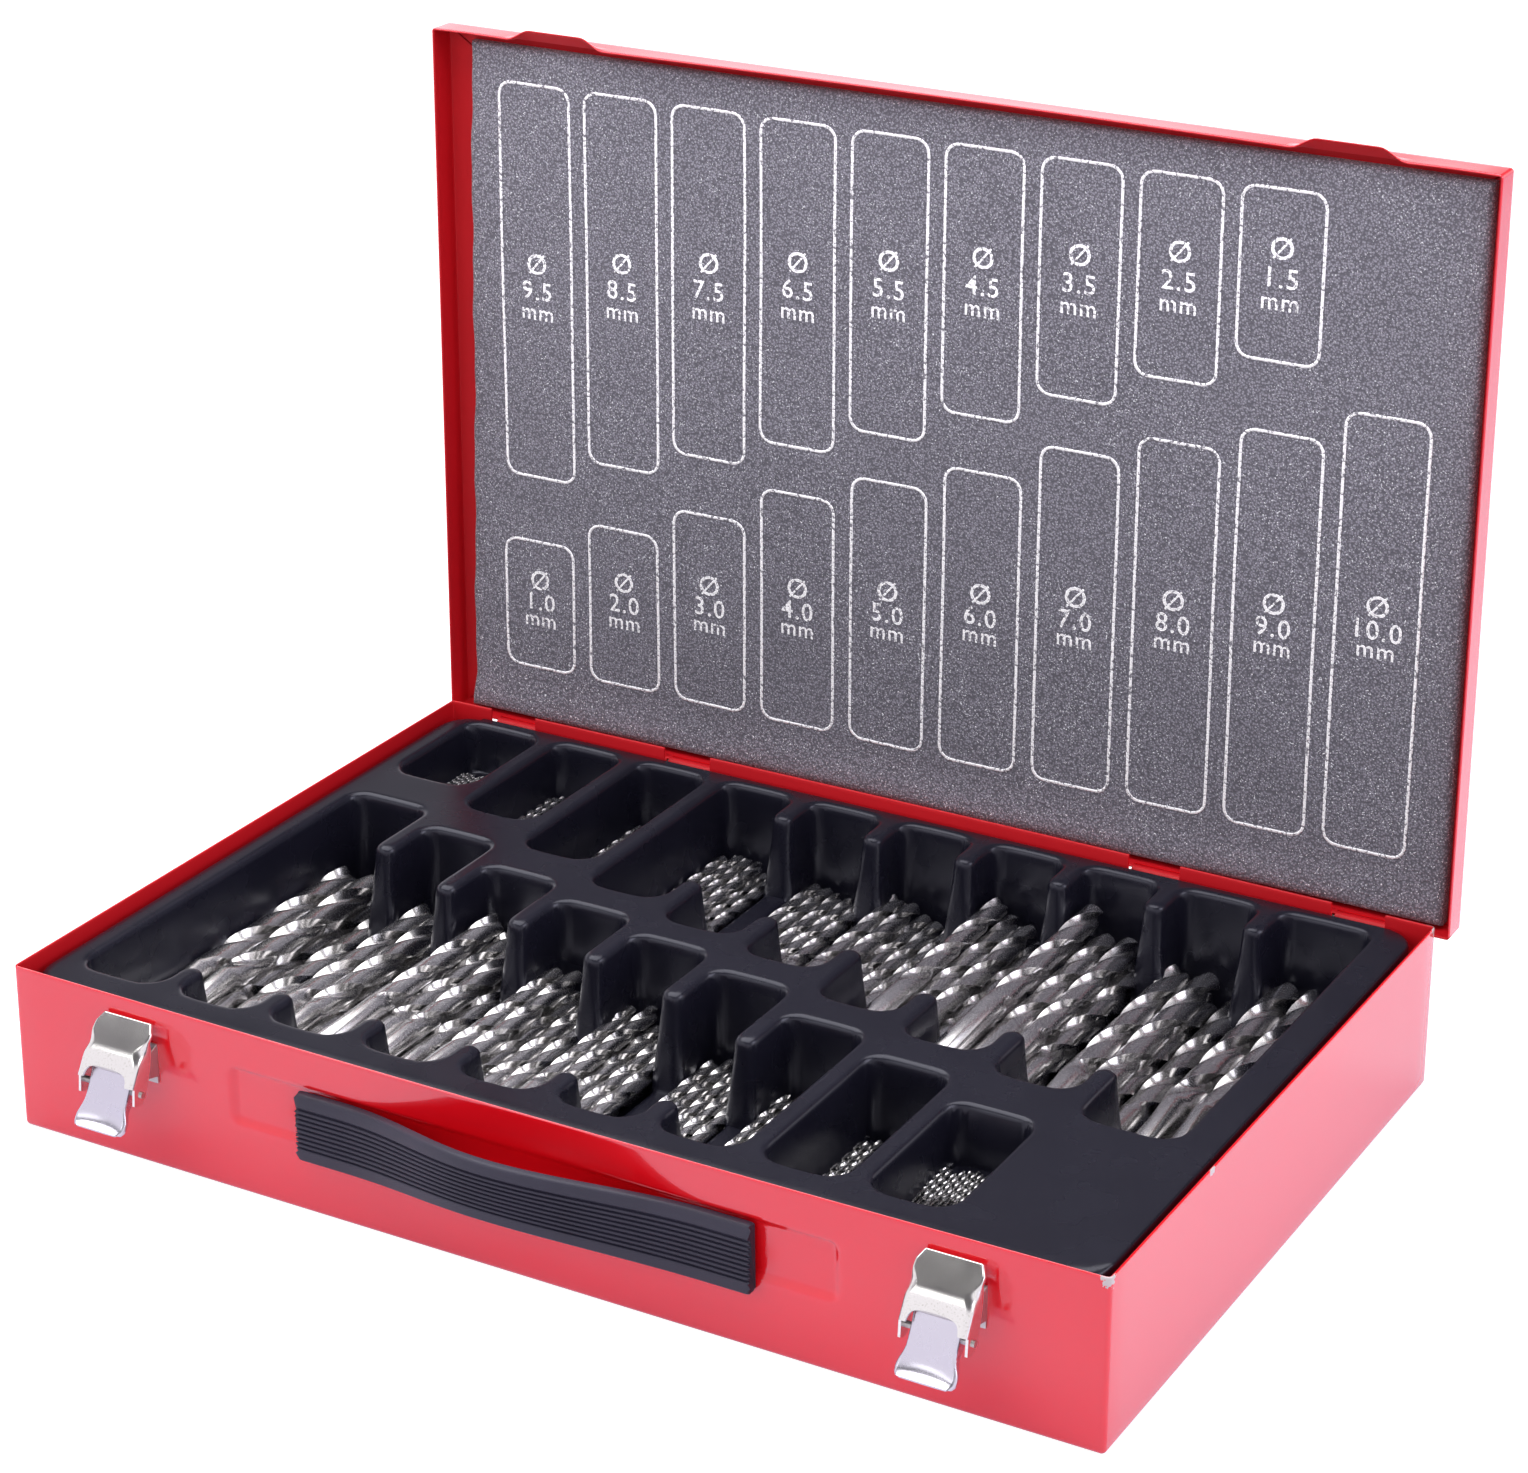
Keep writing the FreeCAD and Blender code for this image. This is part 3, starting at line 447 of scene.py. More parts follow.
# %% Make the drill steel
DRILL_STEEL = (0.62, 0.61, 0.62)
drill_steel, tree, shader, where = new_material(
    "ground steel", Base_Color=DRILL_STEEL, Metallic=1.0, Roughness=0.24)
ground = place_group(tree, grain, where, Scale=2600.0)
tree.links.new(mix_colour(tree, ground.outputs["Variation"], (0.60, 0.59, 0.59), (0.82, 0.81, 0.80)),
               shader.inputs["Base Color"])
tree.links.new(math_node(tree, "MULTIPLY_ADD", ground.outputs["Height"], 0.14), shader.inputs["Roughness"])
tree.nodes[-1].inputs[2].default_value = 0.19
add_bump(tree, shader, ground.outputs["Height"], 0.04, 0.0001)

# %% [markdown]
# ## Bright plating
# The latches are nickel-plated pressings: nearly white where they face the light, dark olive where they
# mirror the room above, with small pits in the plating.

# %% Make the plating
PLATE = (0.80, 0.785, 0.76)
plating, tree, shader, where = new_material("bright plating", Base_Color=PLATE, Metallic=1.0, Roughness=0.2)
pits = place_group(tree, grain, where, Scale=1700.0)
tree.links.new(ramp(tree, pits.outputs["Height"], ((0.24, (0.58, 0.555, 0.50)), (0.44, PLATE))),
               shader.inputs["Base Color"])
tree.links.new(math_node(tree, "MULTIPLY_ADD", pits.outputs["Variation"], 0.16), shader.inputs["Roughness"])
tree.nodes[-1].inputs[2].default_value = 0.1
add_bump(tree, shader, pits.outputs["Height"], 0.12, 0.0001)

# Painted reflection: the levers get a darker, bluer plating than the claws, which stands in for the lavender light they
# mirror. It is also a little rougher.
lever_plating_painted_reflection, tree, shader, where = new_material("lever plating with painted reflection", Base_Color=(0.60, 0.58, 0.67), Metallic=1.0,
                                                   Roughness=0.3)
lever_mottle = place_group(tree, grain, where, Scale=320.0)
tree.links.new(mix_colour(tree, lever_mottle.outputs["Variation"], (0.57, 0.55, 0.64), (0.70, 0.68, 0.75)),
               shader.inputs["Base Color"])
tree.links.new(math_node(tree, "MULTIPLY_ADD", lever_mottle.outputs["Height"], 0.2), shader.inputs["Roughness"])
tree.nodes[-1].inputs[2].default_value = 0.16

pin_steel, tree, shader, where = new_material("pin steel", Base_Color=(0.55, 0.54, 0.52), Metallic=1.0,
                                              Roughness=0.32)
drawn = place_group(tree, grain, where, Scale=1400.0)
tree.links.new(mix_colour(tree, drawn.outputs["Variation"], (0.42, 0.41, 0.40), (0.64, 0.63, 0.61)),
               shader.inputs["Base Color"])

# Painted shade: the hinge wires get a very dark steel, which stands in for the shade of the notches they sit in.
wire_steel, tree, shader, where = new_material("hinge wire", Base_Color=(0.13, 0.12, 0.12), Metallic=1.0,
                                               Roughness=0.5)
wire_grain = place_group(tree, grain, where, Scale=1200.0)
tree.links.new(mix_colour(tree, wire_grain.outputs["Variation"], (0.08, 0.07, 0.07), (0.20, 0.19, 0.18)),
               shader.inputs["Base Color"])

# %% [markdown]
# ## Foam
# Open-cell foam is a web of tiny struts round dark pores, with a few struts that glint. Cells about half a
# millimetre across come from a Voronoi texture, the glints from a high threshold on fine noise, and the
# broad, soft tone from large noise.

# %% The cell group, which the print on the foam uses as well
cells, cells_in, cells_out = new_group(
    "Cells", (("Vector", "NodeSocketVector", None), ("Scale", "NodeSocketFloat", 1700.0)),
    (("Pores", "NodeSocketFloat"), ("Glint", "NodeSocketFloat"), ("Tone", "NodeSocketFloat")))
voronoi = cells.nodes.new("ShaderNodeTexVoronoi")
cells.links.new(cells_in.outputs["Vector"], voronoi.inputs["Vector"])
cells.links.new(cells_in.outputs["Scale"], voronoi.inputs["Scale"])
cells.links.new(voronoi.outputs["Distance"], cells_out.inputs["Pores"])
glint_scale = math_node(cells, "MULTIPLY", cells_in.outputs["Scale"], 1.5)
glint_noise = noise(cells, cells_in.outputs["Vector"], glint_scale, 1.0, 0.5)
cells.links.new(math_node(cells, "GREATER_THAN", glint_noise, 0.69), cells_out.inputs["Glint"])
tone_scale = math_node(cells, "MULTIPLY", cells_in.outputs["Scale"], 0.022)
cells.links.new(noise(cells, cells_in.outputs["Vector"], tone_scale, 4.0, 0.6), cells_out.inputs["Tone"])


# %% Make the foam and its print
def foam_material(name, dark, light, printed):
    """Foam, or foam with white ink on its outer struts, with painted light that brightens it toward its top."""
    material, tree, shader, where = new_material(name, Roughness=0.92, Sheen_Weight=0.15)
    web = place_group(tree, cells, where, Scale=1250.0)
    struts = ramp(tree, web.outputs["Pores"], ((0.12, 0.0), (0.62, 1.0)))
    base = mix_colour(tree, struts, light, dark)
    toned = mix_colour(tree, web.outputs["Tone"], tuple(c * 0.72 for c in light), light)
    # Painted light: the colour is multiplied by 1.15 low on the lid, rising to 1.75 toward its top, which stands in for
    # the light falling on the standing foam.
    separate = tree.nodes.new("ShaderNodeSeparateXYZ")
    tree.links.new(where, separate.inputs[0])
    rise = math_node(tree, "MULTIPLY_ADD", separate.outputs["Z"], 4.0, clamp=True)
    rise.node.inputs[2].default_value = -0.35
    base = mix_colour(tree, 0.35, base, toned)
    if printed:
        ink = ramp(tree, web.outputs["Pores"], ((0.58, 1.0), (0.80, 0.0)))
        base = mix_colour(tree, ink, base, (0.97, 0.97, 0.98))
    painted_light_toward_top = tree.nodes.new("ShaderNodeMix")
    painted_light_toward_top.data_type = "RGBA"
    painted_light_toward_top.blend_type = "MULTIPLY"
    painted_light_toward_top.inputs["Factor"].default_value = 1.0
    tree.links.new(base, painted_light_toward_top.inputs[6])
    tree.links.new(mix_colour(tree, rise, (1.15, 1.15, 1.15), (1.75, 1.75, 1.75)), painted_light_toward_top.inputs[7])
    glinting = mix_colour(tree, web.outputs["Glint"], painted_light_toward_top.outputs[2], (0.92, 0.94, 0.98))
    tree.links.new(glinting, shader.inputs["Base Color"])
    add_bump(tree, shader, web.outputs["Pores"], 0.6, -0.0005)
    return material


foam_grey = foam_material("open-cell foam", (0.016, 0.015, 0.021), (0.30, 0.293, 0.345), False)
foam_ink = foam_material("white ink on foam", (0.09, 0.088, 0.105), (0.50, 0.49, 0.54), True)
print("finishes:", len(bpy.data.materials))

# %% [markdown]
# ## The folded walls
# Base and lid are both a tray of sheet with rounded corners, so one loop of wall points serves both. Each
# point keeps the direction that faces out of the case, and a ring of the loft is that loop, moved in or out
# and up or down. Thin walls spring a little, so a wall can also bow outward between its corners.

# %% The loop of wall points
def wall_loop(half_x, half_y, radius, front_x, rear_x):
    """Points round a rounded rectangle, counter-clockwise: (x, y, outward x, outward y, wall name)."""
    side_y = spaced(radius - half_y, half_y - radius, 9 * MM)
    loop = []

    def corner(cx, cy, start):
        for k in range(1, 6):
            a = math.radians(start + 90 * k / 6)
            loop.append((cx + radius * math.cos(a), cy + radius * math.sin(a), math.cos(a), math.sin(a), "corner"))

    loop.extend((x, -half_y, 0, -1, "front") for x in sorted(front_x))
    corner(half_x - radius, radius - half_y, -90)
    loop.extend((half_x, y, 1, 0, "right") for y in side_y)
    corner(half_x - radius, half_y - radius, 0)
    loop.extend((x, half_y, 0, 1, "rear") for x in sorted(rear_x, reverse=True))
    corner(radius - half_x, half_y - radius, 90)
    loop.extend((-half_x, y, -1, 0, "left") for y in reversed(side_y))
    corner(radius - half_x, radius - half_y, 180)
    return loop


def notch_lines(half_x, radius):
    """X places along the rear wall, with a pair at each side of every hinge notch."""
    lines = spaced(radius - half_x, half_x - radius, 9 * MM)
    for hinge in hinge_centres:
        for centre in (hinge - KNUCKLE_SPACING / 2, hinge + KNUCKLE_SPACING / 2):
            for edge in (centre - KNUCKLE_NOTCH / 2, centre + KNUCKLE_NOTCH / 2):
                lines = [x for x in lines if abs(x - edge) > 0.5 * MM]
                lines.extend((edge - 0.02 * MM, edge + 0.02 * MM))
    return lines


def in_notch(x):
    """True where a hinge notch cuts the rear wall."""
    for hinge in hinge_centres:
        for centre in (hinge - KNUCKLE_SPACING / 2, hinge + KNUCKLE_SPACING / 2):
            if abs(x - centre) < KNUCKLE_NOTCH / 2:
                return True
    return False


# %% [markdown]
# ## Base
# The base's front wall has a shallow pressed recess behind the handle, with a sloping upper side. Its rear
# wall is notched four times, and a tab in each notch bends out and curls round a hinge wire.

# %% The recess and the bow of the walls
RECESS_HALF = 103 * MM
RECESS_LOW = 22 * MM
RECESS_HIGH = 42.5 * MM
RECESS_DEPTH = 1.3 * MM
RECESS_CORNER = 4 * MM
WALL_BOW = 1.6 * MM


def recess_at(x, z):
    """How far the front wall is pressed in at a point."""
    middle = (RECESS_LOW + RECESS_HIGH) / 2
    half = (RECESS_HIGH - RECESS_LOW) / 2
    dx = abs(x) - (RECESS_HALF - RECESS_CORNER)
    dz = abs(z - middle) - (half - RECESS_CORNER)
    inside = RECESS_CORNER - math.hypot(max(dx, 0), max(dz, 0)) - min(max(dx, dz), 0)
    run = 2.6 * MM if z > middle and dz > dx else 3.2 * MM
    return RECESS_DEPTH * smoothstep(inside / run)


def wall_bow(x, z, wall):
    """How far a wall springs outward at a point."""
    if wall not in ("front", "rear"):
        return 0.0
    return WALL_BOW * (1 - (x / half_width) ** 2) * (z / case_height) ** 3


# %% Loft the base
front_lines = spaced(CORNER_RADIUS - half_width, half_width - CORNER_RADIUS, 7 * MM)
for side in (-1, 1):
    edge = side * RECESS_HALF
    front_lines = [x for x in front_lines if abs(x - edge) > 7 * MM]
    front_lines.extend(edge + k * 0.75 * MM for k in range(-9, 10))
base_loop = wall_loop(half_width, half_depth, CORNER_RADIUS, front_lines, notch_lines(half_width, CORNER_RADIUS))
notch_floor = hinge_z - KNUCKLE_RADIUS

profile = [(FOOT_RADIUS * (math.sin(math.radians(a)) - 1), FOOT_RADIUS * (1 - math.cos(math.radians(a))))
           for a in range(0, 91, 18)]
levels = [4 * MM, 8 * MM, 12 * MM, 16 * MM, 19.5 * MM]
levels += spaced(20.5 * MM, 26.5 * MM, 0.6 * MM) + [30 * MM, 34 * MM] + spaced(37 * MM, 43.5 * MM, 0.5 * MM)
levels += [46 * MM, 49 * MM, 51 * MM, 53 * MM]
profile += [(0.0, z) for z in levels]
profile += [(-SHEET / 2 + SHEET / 2 * math.cos(math.radians(a)), case_height - SHEET / 2 + SHEET / 2 * math.sin(math.radians(a)))
            for a in range(0, 181, 30)]
profile += [(-SHEET, z) for z in reversed(levels)]
profile += [(-SHEET, FOOT_RADIUS), (-FOOT_RADIUS, SHEET)]


def base_ring(offset, z):
    """One ring of the base's sheet."""
    ring = []
    for x, y, nx, ny, wall in base_loop:
        height = z
        if wall == "rear" and in_notch(x):
            height = min(z, notch_floor)
        out = offset + wall_bow(x, height, wall)
        if wall == "front":
            out -= recess_at(x, height)
        ring.append((x + nx * out, y + ny * out, height))
    return ring


def base_tab(centre):
    """A tab of the rear wall that curls round the wire."""
    middle = KNUCKLE_RADIUS - SHEET / 2
    path = [(half_depth - SHEET / 2, hinge_z - middle), (hinge_y - MM, hinge_z - middle)]
    path += arc((hinge_y, hinge_z), middle, -90, 165, 22)
    return bent_strip(path, SHEET, centre - BASE_KNUCKLE / 2, centre + BASE_KNUCKLE / 2)


parts = [shell_loft([base_ring(offset, z) for offset, z in profile])]
for hinge in hinge_centres:
    for centre in (hinge - KNUCKLE_SPACING / 2, hinge + KNUCKLE_SPACING / 2):
        parts.append(base_tab(centre))
case_base = add_piece("case_base", *joined(parts), red_paint, 30)
shade_inward_faces(case_base, Vector((0, 0, case_height / 2)))
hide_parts("base_shell")
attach(case_base, "base")

# %% [markdown]
# ## Lid
# The lid is drawn shut, as it is folded, and then turned open. Its skirt ends in a rounded edge, and two
# catches are pressed out of the front edge: a flat slope with S-shaped ends. Between them the thin edge bows outward.

# %% The lid's catches and bow
EDGE_BOW = 0.7 * MM
catch_ramp_top = free_edge + CATCH_REACH


def catch_at(x):
    """The outward reach of the catches along the front edge, from 0 to 1."""
    away = min(abs(x - latch_x), abs(x + latch_x))
    return 1 - smoothstep((away - CATCH_FLAT / 2) / (CATCH_FOOT / 2 - CATCH_FLAT / 2))


def edge_bow_at(x):
    """The gentle bow of the front edge between corners and catches, from 0 to 1."""
    inner = latch_x - CATCH_FOOT / 2
    outer = latch_x + CATCH_FOOT / 2
    if abs(x) < inner:
        return (1 - (x / inner) ** 2) * 0.9
    if abs(x) > outer:
        t = (abs(x) - outer) / (half_width + overhang - outer)
        return 0.25 * math.sin(math.pi * t)
    return 0.0


def lid_push(x, z, wall):
    """How far the front skirt is pushed out at a point."""
    if wall != "front":
        return 0.0
    slope = min(1.0, max(0.0, (catch_ramp_top - z) / CATCH_REACH))
    spring = min(1.0, max(0.0, (panel_outer - z) / SKIRT_DEPTH)) ** 1.5
    return CATCH_REACH * catch_at(x) * slope + EDGE_BOW * edge_bow_at(x) * spring


# %% Loft the lid
LID_CORNER = 1.2 * MM
LID_FOLD = 1.5 * MM
lid_half_x = half_width + overhang
lid_half_y = half_depth + overhang
front_lines = spaced(LID_CORNER - lid_half_x, lid_half_x - LID_CORNER, 7 * MM)
for side in (-1, 1):
    front_lines = [x for x in front_lines if abs(x - side * latch_x) > CATCH_FOOT / 2 + 2 * MM]
    front_lines.extend(side * latch_x + s * d * MM for s in (-1, 1)
                       for d in (0.001, 4, 8, 9.65, 10.8, 12, 13.2, 14.4, 15.6, 16.8, 18.5, 20))
lid_loop = wall_loop(lid_half_x, lid_half_y, LID_CORNER, front_lines, notch_lines(lid_half_x, LID_CORNER))
lid_notch = hinge_z + 1.75 * MM

panel_inner = panel_outer - SHEET
profile = [(LID_FOLD * (math.sin(math.radians(a)) - 1), panel_outer - LID_FOLD * (1 - math.cos(math.radians(a))))
           for a in range(0, 91, 15)]
skirt_levels = [8, 6.5, 5, 4.4, 4.0, 3.7, 3.4, 3.0, 2.5, 2.0, 1.5, 1.0, 0.6]
profile += [(0.0, free_edge + h * MM) for h in skirt_levels]
profile += [(SHEET / 2 * (math.cos(math.radians(a)) - 1), free_edge + SHEET / 2 * (1 - math.sin(math.radians(a))))
            for a in range(0, 181, 30)]
profile += [(-SHEET, free_edge + h * MM) for h in (0.8, 1.4, 2.0, 2.6, 3.2, 3.7, 4.2, 5, 6.5, 8)]
profile += [(-SHEET, panel_inner - 0.7 * MM), (-SHEET - 0.2 * MM, panel_inner - 0.2 * MM), (-LID_FOLD, panel_inner)]


def lid_ring(offset, z):
    """One ring of the lid's sheet, shut."""
    ring = []
    for x, y, nx, ny, wall in lid_loop:
        height = z
        if wall == "rear" and in_notch(x):
            height = max(z, lid_notch)
        out = offset + lid_push(x, height, wall)
        ring.append((x + nx * out, y + ny * out, height))
    return ring


def lid_curl(hinge):
    """The middle of a hinge: the skirt's edge curled round the wire."""
    middle = KNUCKLE_RADIUS - SHEET / 2
    path = [(hinge_y - middle, free_edge + 3 * MM), (hinge_y - middle, hinge_z + 0.4 * MM)]
    path += arc((hinge_y, hinge_z), middle, 180, 435, 22)
    return bent_strip(path, SHEET, hinge - LID_KNUCKLE / 2, hinge + LID_KNUCKLE / 2)


parts = [shell_loft([lid_ring(offset, z) for offset, z in profile])]
parts.extend(lid_curl(hinge) for hinge in hinge_centres)
lid_vertices, lid_faces = joined(parts)
case_lid = add_piece("case_lid", opened(lid_vertices), lid_faces, red_paint, 30)
shade_inward_faces(case_lid, Vector((0, hinge_y + (panel_outer - hinge_z) / 2, hinge_z + hinge_y)))
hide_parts("lid_shell")
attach(case_lid, "lid")

# %% [markdown]
# ## What the tray holds
# Each compartment is as long as its drills and a little more, so the two rows share one table of standard
# sizes: diameter, length, flute length, room to spare and the height of the compartment's floor.

# %% The two rows of compartments
REAR_DRILLS = ((1.0, 34, 12, 13.0, 33), (2.0, 49, 24, 11.0, 31), (3.0, 61, 33, 15.5, 24), (4.0, 75, 43, 14.6, 20),
               (5.0, 86, 52, 14.0, 14), (6.0, 93, 57, 14.5, 11), (7.0, 109, 69, 13.0, 11), (8.0, 117, 75, 14.0, 11),
               (9.0, 125, 81, 14.0, 11), (10.0, 133, 87, 18.0, 11))
FRONT_DRILLS = ((9.5, 125, 81, 22.0, 11), (8.5, 117, 75, 19.0, 11), (7.5, 109, 69, 12.0, 11),
                (6.5, 101, 63, 10.0, 11), (5.5, 93, 57, 9.0, 14), (4.5, 80, 47, 13.0, 16),
                (3.5, 70, 39, 8.5, 20), (2.5, 57, 30, 11.0, 24), (1.5, 40, 18, 14.5, 32))
FIRST_COLUMN = -155 * MM
COLUMN_PITCH = 33.6 * MM
POCKET_WIDTH = 28 * MM
rear_edge = tray_high.y - 5.3 * MM
front_edge = tray_low.y + 15 * MM


def node_name(diameter):
    """The CAD node of one size, such as drills_09_5."""
    return "drills_%02d_%d" % (int(diameter), round(10 * (diameter - int(diameter))))


def column_span(column):
    """Left and right edge of a column's compartments; the outer columns are a little wider."""
    centre = FIRST_COLUMN + COLUMN_PITCH * column
    left = centre - POCKET_WIDTH / 2 - (2.5 * MM if column == 0 else 0)
    right = centre + POCKET_WIDTH / 2 + (4.5 * MM if column == 9 else 0)
    return left, right


rooms = []
for row, table in (("rear", REAR_DRILLS), ("front", FRONT_DRILLS)):
    for column, (diameter, length, flute, spare, floor) in enumerate(table):
        left, right = column_span(column)
        size = (length + spare) * MM
        low_y, high_y = (rear_edge - size, rear_edge) if row == "rear" else (front_edge, front_edge + size)
        rooms.append({"row": row, "column": column, "left": left, "right": right, "front": low_y,
                      "rear": high_y, "floor": floor * MM, "diameter": diameter, "length": length,
                      "flute": flute})
print("compartments:", len(rooms))

# %% [markdown]
# ## The formed tray
# The tray's top is a height field on a grid whose lines crowd together at every wall, because that is where
# the surface turns. Each compartment sinks by a profile of three parts: a rounded shoulder, a wall with a
# little draft, and a floor. Fingers need room to lift the drills, so low saddles join many compartments;
# at one end of a saddle stands a square head, and at the other a short stub with a rounded end.

# %% Sizes of the tray
SHOULDER = 2.4 * MM
WALL_DRAFT = 0.045
SADDLE_DRAFT = 0.09
FLOOR_FILLET = 3.5 * MM
PLAN_CORNER = 6.0 * MM
STUB_CORNER = 8 * MM
SADDLE_BLEND = 4.2 * MM
RIB_SWELL = 0.9 * MM
SADDLE_HEIGHT = 3.0 * MM
DECK_CORNER = 12 * MM
DECK_ROLL = 1.1 * MM
WIDE_ROLL = 3.4 * MM
tray_top = tray_high.z

saddles = []
for row, ribs, head, stub in (("front", range(0, 6), 22 * MM, 16.5 * MM), ("rear", range(3, 9), 17 * MM, 18.5 * MM)):
    line = [room for room in rooms if room["row"] == row]
    for rib in ribs:
        one, two = line[rib], line[rib + 1]
        level = max(one["floor"], two["floor"]) + SADDLE_HEIGHT
        if row == "front":
            front, rear = front_edge + stub, min(one["rear"], two["rear"]) - head
        else:
            front, rear = max(one["front"], two["front"]) + stub, rear_edge - head
        saddles.append({"row": row, "rib": rib, "left": one["right"], "right": two["left"], "front": front,
                        "rear": rear, "level": level})
print("saddles:", len(saddles))


# %% Distances and profiles, on whole arrays at once
def smooth_max(a, b, k):
    """The larger of two arrays, rounded over where they are nearly equal."""
    h = np.clip(0.5 + (a - b) / (2 * k), 0, 1)
    return b + (a - b) * h + k * h * (1 - h)


def inside_distance(x, y, left, right, front, rear, radius):
    """How far a point lies inside a rectangle with rounded corners; negative outside."""
    dx = np.abs(x - (left + right) / 2) - (right - left) / 2 + radius
    dy = np.abs(y - (front + rear) / 2) - (rear - front) / 2 + radius
    outside = np.hypot(np.maximum(dx, 0), np.maximum(dy, 0))
    return radius - outside - np.minimum(np.maximum(dx, dy), 0)


def wall_depth(distance, draft):
    """Depth below the deck of a shoulder and the wall under it, by distance inside the edge."""
    turn = np.clip(distance + SHOULDER, 0, SHOULDER)
    rounded = SHOULDER - np.sqrt(np.maximum(SHOULDER ** 2 - turn ** 2, 0))
    return rounded + np.maximum(distance, 0) / draft


def tray_depth(x, y):
    """Depth of the tray's surface below its deck at every grid point."""
    pocket = np.full(x.shape, -1.0)
    floor_depth = np.zeros(x.shape)
    for room in rooms:
        stub_end = (room["front"] + room["rear"]) / 2 > y
        d = inside_distance(x, y, room["left"] + RIB_SWELL, room["right"] - RIB_SWELL, room["front"], room["rear"],
                            np.where(stub_end, STUB_CORNER, PLAN_CORNER))
        nearer = d > pocket
        pocket = np.where(nearer, d, pocket)
        floor_depth = np.where(nearer, tray_top - room["floor"], floor_depth)
    saddle_zone = np.full(x.shape, -1.0)
    saddle_depth = np.full(x.shape, 1.0)
    for saddle in saddles:
        reach = 9 * MM
        d = inside_distance(x, y, saddle["left"] - reach, saddle["right"] + reach,
                            saddle["front"], saddle["rear"], 1 * MM)
        middle = np.abs(x - (saddle["left"] + saddle["right"]) / 2)
        saddle_zone = np.maximum(saddle_zone, np.where(middle < reach, d, -1.0))
        near = (middle < 6 * MM) & (d > -3 * MM)
        saddle_depth = np.where(near, tray_top - saddle["level"], saddle_depth)
    union = smooth_max(pocket, saddle_zone, SADDLE_BLEND)
    away = np.clip((saddle_zone + 2.5 * MM) / (3 * MM), 0, 1)
    draft = WALL_DRAFT + (SADDLE_DRAFT - WALL_DRAFT) * away
    walls = wall_depth(union, draft)
    in_pocket = wall_depth(pocket - 0.9 * MM, 0.10)
    saddle_floor = np.minimum(saddle_depth + in_pocket, floor_depth)
    floor_surface = np.where(saddle_depth < 0.9, saddle_floor, floor_depth)
    low = np.minimum(walls, floor_surface)
    k = np.clip(low, 1e-5, FLOOR_FILLET)
    return -smooth_max(-walls, -floor_surface, k)


# %% The grid's lines
def crowded(features, low, high, offsets, step):
    """Lines that crowd round each feature and are about step apart elsewhere."""
    lines = {round(low, 7), round(high, 7)}
    for feature in features:
        lines.update(round(feature + o, 7) for o in offsets if low < feature + o < high)
    ordered = sorted(lines)
    filled = []
    for a, b in zip(ordered, ordered[1:]):
        filled.extend(spaced(a, b, step)[:-1] if b - a > 1.5 * step else [a])
    return filled + [ordered[-1]]


EDGE_OFFSETS = [o * MM for o in (2.4, 1.9, 1.4, 0.9, 0.5, 0.2, 0.0, -0.4, -0.9, -1.4, -2.0, -2.7, -3.5, -4.5, -6.0)]
x_lines = {round(tray_low.x, 7), round(tray_high.x, 7)}
for column in range(10):
    left, right = column_span(column)
    x_lines.update(round(left - o, 7) for o in EDGE_OFFSETS)
    x_lines.update(round(right + o, 7) for o in EDGE_OFFSETS)
x_lines.update(round(tray_low.x + o * MM, 7) for o in (0.15, 0.5, 1, 1.7, 2.6, 4))
x_lines.update(round(tray_high.x - o * MM, 7) for o in (0.15, 0.5, 1, 1.7, 2.6, 4, 6))
x_lines = sorted(x_lines)
x_lines = [x for k, x in enumerate(x_lines) if k == 0 or x - x_lines[k - 1] > 1e-5]
filled = []
for a, b in zip(x_lines, x_lines[1:]):
    filled.extend(spaced(a, b, 4 * MM)[:-1] if b - a > 6 * MM else [a])
x_lines = np.array(filled + [x_lines[-1]])


def room_edge(row, column, side):
    """One edge of a room, with the last front room repeated where the row has no tenth."""
    line = [room for room in rooms if room["row"] == row]
    return line[min(column, len(line) - 1)][side]


def stepped(values, steps_at, width, x):
    """A line that keeps each column's value and passes to the next within width of a step."""
    result = np.full(x.shape, values[0])
    for k, place in enumerate(steps_at):
        t = np.clip((x - place) / width + 0.5, 0, 1)
        result = result + (values[k + 1] - values[k]) * t
    return result


rib_middles = [(column_span(k)[1] + column_span(k + 1)[0]) / 2 for k in range(9)]
pocket_middles = [FIRST_COLUMN + COLUMN_PITCH * k for k in range(1, 9)]
front_rear = stepped([room_edge("front", k, "rear") for k in range(10)], rib_middles, 1.2 * MM, x_lines)
rear_front = stepped([room_edge("rear", k, "front") for k in range(10)], rib_middles, 1.2 * MM, x_lines)
front_saddle = [saddle["rear"] for saddle in saddles if saddle["row"] == "front"]
front_saddle += [front_saddle[-1]] * 3
rear_saddle = [saddle["front"] for saddle in saddles if saddle["row"] == "rear"]
rear_saddle = [rear_saddle[0]] * 3 + rear_saddle
front_saddle = stepped(front_saddle, pocket_middles, 14 * MM, x_lines)
rear_saddle = stepped(rear_saddle, pocket_middles, 14 * MM, x_lines)
flat = np.ones(x_lines.shape)
features = [flat * tray_low.y, flat * front_edge, flat * (front_edge + 12 * MM), front_saddle, front_rear,
            rear_front, rear_saddle, flat * (rear_edge - 17 * MM), flat * rear_edge, flat * tray_high.y]
features = np.array(features)
features = np.maximum.accumulate(features, axis=0)

